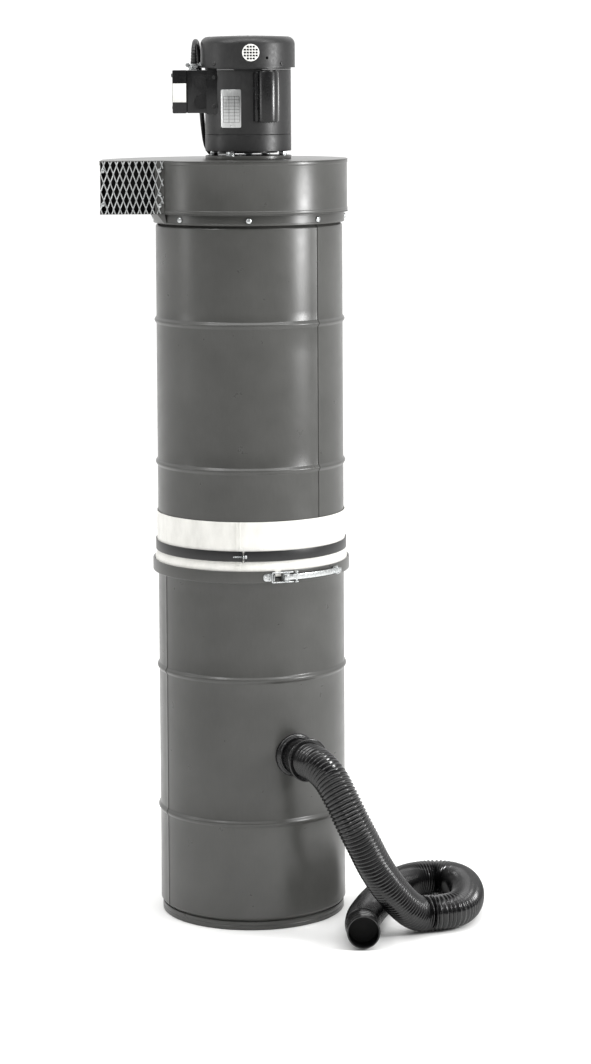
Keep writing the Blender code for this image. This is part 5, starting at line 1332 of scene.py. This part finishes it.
outlet_screws = [pan_screw((x, mesh_y - 0.001, z), (0, -1, 0)) for x, z in (
    (-0.169, 1.45), (-0.169, 1.404), (-0.169, 1.383), (-0.277, 1.45), (-0.277, 1.386))]
finish_piece("outlet_screws", outlet_screws, zinc_plate, "upper_unit")

# %% [markdown]
# ## The motor
# A totally enclosed, fan-cooled motor stands on a mounting plate above the blower. Its
# frame is a rolled tube between two turned end bells, with a pressed cover over the fan
# at the top. All are turned outlines with rounded edges; the cover's louvres are slots
# cut through its flat top.

# %% Mounting plate and nuts
MOTOR = 0.0833
plate_mesh = turned("mounting", softened(oblong(0.03, MOTOR, 1.4689, 1.4756),
                                         0.001, 3), 128)

finish_piece("motor_mounting_plate", carved(plate_mesh, bolt_drills(0.0051)), plain_enamel, "upper_unit",
             "motor_plate")


def hexagon(across, low, high, turn=0.0):
    """A six-sided nut with its corners rounded off."""
    outline = [(across / 1.732 * math.cos(math.radians(60 * k + turn)),
                across / 1.732 * math.sin(math.radians(60 * k + turn))) for k in range(6)]
    return raised("hexagon", outline, low, high, 0.0009)


for i, bearing in enumerate(BOLT_BEARINGS):
    shank = turned("shank", oblong(0.0, 0.0046, 1.46, 1.4898), 24)
    washer = turned("washer", softened(oblong(0.0047, 0.0088, 1.4758, 1.4772),
                                       0.0004, 2), 32)
    nut = hexagon(0.015, 1.4773, 1.4838, 12.0 + 25.0 * i)
    head = hexagon(0.015, 1.4598, 1.4666, 40.0 * i)
    bolt = together("bolt", [shank, washer, nut, head])
    moved(bolt, around(BOLT_CIRCLE, bearing))
    finish_piece(f"motor_stud_{i + 1}", bolt, zinc_plate, "upper_unit", f"motor_bolt_{i + 1}")

# %% Lower bell
lower_bell = softened([(0.0129, 1.4801), (0.057, 1.4801), (0.057, 1.4841), (MOTOR, 1.4841),
                       (MOTOR, 1.5161),
                       (0.079, 1.5161), (0.079, 1.4921), (0.0275, 1.4921), (0.0275, 1.5071),
                       (0.0203, 1.5071),
                       (0.0203, 1.4951), (0.0129, 1.4951)], 0.0012, 3)
bell_mesh = carved(turned("bell", lower_bell, 160), bolt_drills(0.0051))
finish_piece("motor_lower_bell_casting", bell_mesh, motor_enamel, "upper_unit", "motor_lower_bell")

# %% Frame and upper bell
frame_tube = softened(oblong(0.079, MOTOR, 1.5164, 1.6406), 0.0008, 3)
finish_piece("motor_frame_tube", turned("motor_frame_tube", frame_tube, 160), motor_enamel, "upper_unit",
             "motor_frame")
upper_bell = softened([(0.0129, 1.6406), (0.0203, 1.6406), (0.0203, 1.6259), (0.0273, 1.6259),
                       (0.0273, 1.6409),
                       (MOTOR, 1.6409), (MOTOR, 1.6486), (0.0129, 1.6486)], 0.001, 2)
finish_piece("motor_upper_bell_casting", turned("motor_upper_bell_casting", upper_bell, 128), motor_enamel,
             "upper_unit", "motor_upper_bell")

# %% Fan cover
COVER_R, COVER_FOOT, COVER_CROWN, SHOULDER = 0.0913, 1.6446, 1.7066, 0.015
shell = [(COVER_R, COVER_FOOT), (COVER_R + 0.0002, COVER_FOOT + 0.002), (COVER_R, COVER_FOOT + 0.0035),
         (COVER_R, 1.66), (COVER_R, 1.675), (COVER_R, COVER_CROWN - 0.002 - SHOULDER)]
shell += [(COVER_R - SHOULDER * (1 - math.cos(math.radians(a))),
           COVER_CROWN - 0.002 - SHOULDER * (1 - math.sin(math.radians(a)))) for a in range(10, 91, 10)]
shell += [(0.05, COVER_CROWN - 0.001), (0.02, COVER_CROWN - 0.0002), (0.0, COVER_CROWN)]
shell += [(max(r - 0.0015, 0.0), z - (0.0015 if z > 1.69 else 0.0)) for r, z in reversed(shell)]
cover_shell = turned("cover", shell, 160)
louvres = []
for ring_radius, count, length in ((0.024, 8, 0.0125), (0.041, 16, 0.0125), (0.058, 24, 0.0125)):
    for k in range(count):
        slot_plan = softened(oblong(ring_radius - length / 2, ring_radius + length / 2, -0.0021, 0.0021),
                             0.002, 3)
        slot_mesh = raised("slot", slot_plan, 1.695, 1.715)
        slot_mesh.transform(Matrix.Rotation(2 * math.pi * k / count, 4, "Z"))
        louvres.append(slot_mesh)
pilot = turn_to(turned("pilot", oblong(0.0, 0.0027, -0.02, 0.02), 24),
                around(COVER_R, 23.9, 1.663), around(1.0, 23.9))
cover_shell = carved(carved(cover_shell, together("louvres", louvres)), pilot)
finish_piece("fan_cover_pressing", cover_shell, motor_enamel, "upper_unit", "fan_cover", smooth=38.0)
screws = []
for bearing in (45.0, 135.0, 225.0, 315.0):
    screws.append(turn_to(turned("pan", [(0.0, -0.001), (0.0042, -0.001), (0.0042, 0.0006),
                                         (0.003, 0.0018),
                                         (0.0, 0.0022)], 20), around(COVER_R, bearing, 1.652),
                                         around(1.0, bearing)))

# %% [markdown]
# ## Plates and labels on the motor
# The rating plate is thin brushed aluminium bent to the frame and held by two rivets.
# It is left without words: only ruled boxes, as on an unused plate. The round sticker
# on the fan cover carries a plain grid, and the wiring box a blank pale label.


# %% Curved sheets on the motor
def curved_sheet(name, width, height, metal, inner, bearing, low, corner=0.0015):
    """A round-cornered sheet bent to a round wall."""
    outline = softened(oblong(-width / 2, width / 2, 0.0, height), corner, 3)
    bm = bmesh.new()
    grid = raised(name, outline, 0.0, metal, 0.0002)
    bm.from_mesh(grid)
    for k in range(-5, 6):
        bmesh.ops.bisect_plane(bm, geom=bm.verts[:] + bm.edges[:] + bm.faces[:],
                               plane_co=(k * width / 11, 0, 0), plane_no=(1, 0, 0))
    for v in bm.verts:
        across, up, out = v.co
        v.co = around(inner + out, bearing + math.degrees(across / inner), low + up)
    return closed_mesh(name, bm)


# %% Rating plate
PLATE_BEARING, PLATE_LOW = -23.5, 1.53
plate = curved_sheet("rating", 0.042, 0.073, 0.0008, MOTOR + 0.0003, PLATE_BEARING, PLATE_LOW, 0.003)
plate_rivets = [turn_to(turned("rivet", [(0.0, 0.0), (0.0021, 0.0), (0.0018, 0.0008), (0.0, 0.0012)], 16),
                        around(MOTOR + 0.0009, PLATE_BEARING, PLATE_LOW + up), around(1.0, PLATE_BEARING))
                for up in (0.0035, 0.0695)]
finish_piece("motor_rating_plate", [plate] + plate_rivets, brushed, "upper_unit", "nameplate")
rules = [curved_sheet("rule", 0.033, 0.0005, 0.00025, MOTOR + 0.00115, PLATE_BEARING + 0.8,
                      PLATE_LOW + 0.01 + 0.0062 * k, 0.0001)
         for k in range(9)]
rules += [curved_sheet("rule", 0.0005, 0.0496, 0.00025, MOTOR + 0.00115, PLATE_BEARING + 0.8 + d,
                       PLATE_LOW + 0.01, 0.0001)
          for d in (-11.3, -3.0, 5.0, 11.3)]
finish_piece("rating_plate_rules", rules, abs_plastic, "upper_unit")

# %% Round sticker with a grid
STICKER_BEARING, STICKER_HEIGHT = 3.7, 1.673


def on_cover(shape, lift):
    """Bends a flat mesh drawn in (across, up, out) to the fan cover."""
    for v in shape.vertices:
        across, up, out = v.co
        v.co = around(COVER_R + lift + out, STICKER_BEARING + math.degrees(across / COVER_R),
                      STICKER_HEIGHT + up)
    return shape


disc_bm = bmesh.new()
circle = [(0.0165 * math.cos(2 * math.pi * k / 40),
           0.0165 * math.sin(2 * math.pi * k / 40)) for k in range(40)]
disc_bm.from_mesh(raised("disc", circle, 0.0, 0.0003))
for k in range(-6, 7):
    bmesh.ops.bisect_plane(disc_bm, geom=disc_bm.verts[:] + disc_bm.edges[:] + disc_bm.faces[:],
                           plane_co=(k * 0.0025, 0, 0), plane_no=(1, 0, 0))
disc = bpy.data.meshes.new("disc")
disc_bm.to_mesh(disc)
disc_bm.free()
finish_piece("fan_cover_sticker", on_cover(disc, 0.0002), label_paper, "upper_unit")
grid_marks = []
for row in range(5):
    for column in range(5):
        x, z = (column - 2) * 0.0056, (row - 2) * 0.0056
        if math.hypot(x, z) > 0.0135:
            continue
        mark = softened(oblong(x - 0.002, x + 0.002, z - 0.0018, z + 0.0018), 0.0004, 2)
        grid_marks.append(on_cover(raised("mark", mark, 0.0, 0.0002), 0.00055))
finish_piece("fan_cover_sticker_grid", grid_marks, abs_plastic, "upper_unit")

# %% [markdown]
# ## The capacitor's housing
# A moulded half-round housing covers the start capacitor. It is glossy, with a flange
# down each side, so bright vertical lines show its shape.

# %% Capacitor housing
CAP_BEARING, CAP_LOW, CAP_HIGH, CAP_HALF, CAP_TIP = 25.0, 1.54, 1.638, 0.02, MOTOR + 0.026


def half_round(half, tip, start, step=9):
    """A round-nosed outline that points at -Y."""
    bow = half * 0.95
    plan = [(half, start)]
    plan += [(half * math.cos(math.radians(d)), -(tip - bow) - bow * math.sin(math.radians(d)))
             for d in range(0, 181, step)]
    return plan + [(-half, start)]


housing = raised("housing", half_round(CAP_HALF, CAP_TIP, -0.07), CAP_LOW, CAP_HIGH, 0.003)
hollow = raised("hollow", half_round(CAP_HALF - 0.0018, CAP_TIP - 0.0018, -0.06), CAP_LOW + 0.002,
                CAP_HIGH - 0.002)
flange = slab("flange", (-0.0262, -0.0905, CAP_LOW + 0.002), (-0.015, -0.07, CAP_HIGH - 0.002), 0.0008)
flange_right = slab("flange", (0.015, -0.0895, CAP_LOW + 0.002), (0.024, -0.07, CAP_HIGH - 0.002),
                    0.0008)
housing = carved(carved(carved(housing, flange, "UNION"), flange_right, "UNION"), hollow)
swung(housing, CAP_BEARING)
motor_core = turned("core", oblong(0.0, MOTOR + 0.0003, 1.5, 1.66), 240)
finish_piece("capacitor_housing", carved(housing, motor_core), abs_plastic, "upper_unit",
             "capacitor_cover", smooth=30.0)
marks = []
for up in (0.024, 0.049, 0.074):
    mark = slab("mark", (-0.0235, -0.0913, CAP_LOW + up - 0.004), (-0.0205, -0.0904, CAP_LOW + up + 0.004),
                0.0005)
    swung(mark, CAP_BEARING)
    marks.append(mark)
CLIP = CAP_HIGH - 0.0012
for across in (-0.012, 0.0125):
    clip = slab("clip", (across - 0.003, -0.0985, CLIP - 0.002),
                (across + 0.003, -0.0925, CLIP + 0.003), 0.001)
    marks.append(swung(clip, CAP_BEARING))
finish_piece("capacitor_housing_ribs", marks, abs_plastic, "upper_unit")

# %% [markdown]
# ## The wiring box
# The mains cord ends in a moulded box on the motor's side: a body with two round
# knockouts, a deep cover split off by a dark line, and a saddle that fits the motor.

# %% Wiring box body
BOX_FRONT, BOX_BACK, BOX_LOW, BOX_HIGH = -0.055, 0.025, 1.558, 1.6405
BOX_LEFT, BOX_SPLIT = -0.145, -0.1165
box_body = slab("box", (BOX_SPLIT, BOX_FRONT, BOX_LOW), (-0.06, BOX_BACK, BOX_HIGH), 0.0016)
box_hollow = slab("hollow", (BOX_SPLIT - 0.01, BOX_FRONT + 0.0022, BOX_LOW + 0.0022),
                  (-0.0878, BOX_BACK - 0.0022, BOX_HIGH - 0.0022))
box_body = carved(box_body, box_hollow)
for x, z in ((-0.09, 1.618), (-0.0885, 1.58)):
    groove = turned("groove", oblong(0.0128, 0.0138, -0.0008, 0.004), 48)
    box_body = carved(box_body, turn_to(groove, (x, BOX_FRONT, z), (0, -1, 0)))
saddle = slab("saddle", (-0.08, BOX_FRONT - 0.004, BOX_LOW - 0.002),
              (-0.056, BOX_FRONT + 0.01, BOX_HIGH + 0.0006), 0.001)
box_body = carved(carved(box_body, saddle, "UNION"), motor_core)
finish_piece("wiring_box_body", box_body, abs_plastic, "upper_unit", "junction_box", smooth=30.0)

# %% Wiring box cover
box_cover = slab("cover", (BOX_LEFT, BOX_FRONT - 0.0006, BOX_LOW - 0.0004),
                 (BOX_SPLIT - 0.0006, BOX_BACK + 0.0006, BOX_HIGH + 0.0002), 0.0026)
cover_hollow = slab("hollow", (BOX_LEFT + 0.0022, BOX_FRONT + 0.0022, BOX_LOW + 0.0022),
                    (BOX_SPLIT + 0.01, BOX_BACK - 0.0022, BOX_HIGH - 0.0022))
finish_piece("wiring_box_cover", carved(box_cover, cover_hollow), abs_plastic, "upper_unit",
             "box_cover", smooth=30.0)
blank = slab("blank", (BOX_LEFT + 0.0006, BOX_FRONT - 0.001, 1.579),
             (BOX_SPLIT - 0.002, BOX_FRONT - 0.0005, 1.615), 0.0001)
side_blank = slab("blank", (BOX_LEFT - 0.0005, BOX_FRONT + 0.002, 1.579),
                  (BOX_LEFT + 0.0001, BOX_FRONT + 0.05, 1.615), 0.0001)
finish_piece("wiring_box_label", [blank, side_blank], label_paper, "upper_unit")

# %% Box screws and cord connector
for z in (1.626, 1.571):
    screws.append(pan_screw((-0.065, BOX_FRONT - 0.004, z), (0, -1, 0)))
for y, z in ((BOX_FRONT + 0.01, BOX_HIGH - 0.01), (BOX_BACK - 0.01, BOX_LOW + 0.01)):
    screws.append(pan_screw((BOX_LEFT, y, z), (-1, 0, 0)))
finish_piece("motor_small_screws", screws, motor_enamel, "upper_unit")
gland = turned("gland", softened([(0.0, 1.6408), (0.0098, 1.6408), (0.0098, 1.644), (0.0086, 1.6448),
                                  (0.0086, 1.649), (0.01, 1.6495), (0.01, 1.652), (0.0072, 1.6528),
                                  (0.0, 1.6528)], 0.0005, 2), 32)
gland_nut = carved(hexagon(0.0205, 1.6446, 1.649, 10.0),
                   turned("bore", oblong(0.0, 0.0088, 1.63, 1.66), 32))
clamp_ears = [slab("ear", (side * 0.0125 - 0.003, -0.0035, 1.6495),
                   (side * 0.0125 + 0.003, 0.0035, 1.6522), 0.0006)
              for side in (-1, 1)]
clamp_screws = [pan_screw((side * 0.0125, -0.003, 1.6508), (0, -1, 0), 16) for side in (-1, 1)]
gland_mesh = together("gland", [gland, gland_nut] + clamp_ears + clamp_screws)
moved(gland_mesh, (-0.104, -0.015, 0.0))
finish_piece("cord_connector_gland", gland_mesh, zinc_plate, "upper_unit", "cord_connector")

# %% [markdown]
# ## Parts inside
# The wheel, shaft, bearings, cores, winding, cooling fan and capacitor keep their own
# shapes from the frame, because they are already the right solids. They only need the
# finishes of cast aluminium, ground steel, stacked sheet, enamelled wire and plastic.

# %% Finishes of the inner parts
INSIDE = {"upper_head": plain_enamel, "impeller": cast_metal, "motor_shaft": ground_steel,
          "rotor_core": lamination,
          "stator_core": lamination, "stator_winding": copper_wire, "lower_bearing": ground_steel,
          "upper_bearing": ground_steel, "cooling_fan": abs_plastic, "capacitor": cast_metal}
for name, finish in INSIDE.items():
    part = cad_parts[name]
    part.data.materials.clear()
    part.data.materials.append(finish)
left = [name for name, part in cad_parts.items() if not part.hide_render and name not in INSIDE]
print("inner parts:", len(INSIDE), "- still plain:", left)

# %% [markdown]
# ## Pieces
# The number of pieces made is printed. The visible model has to stay in the frame's
# box.

# %% Count the pieces
print("pieces:", len(made))
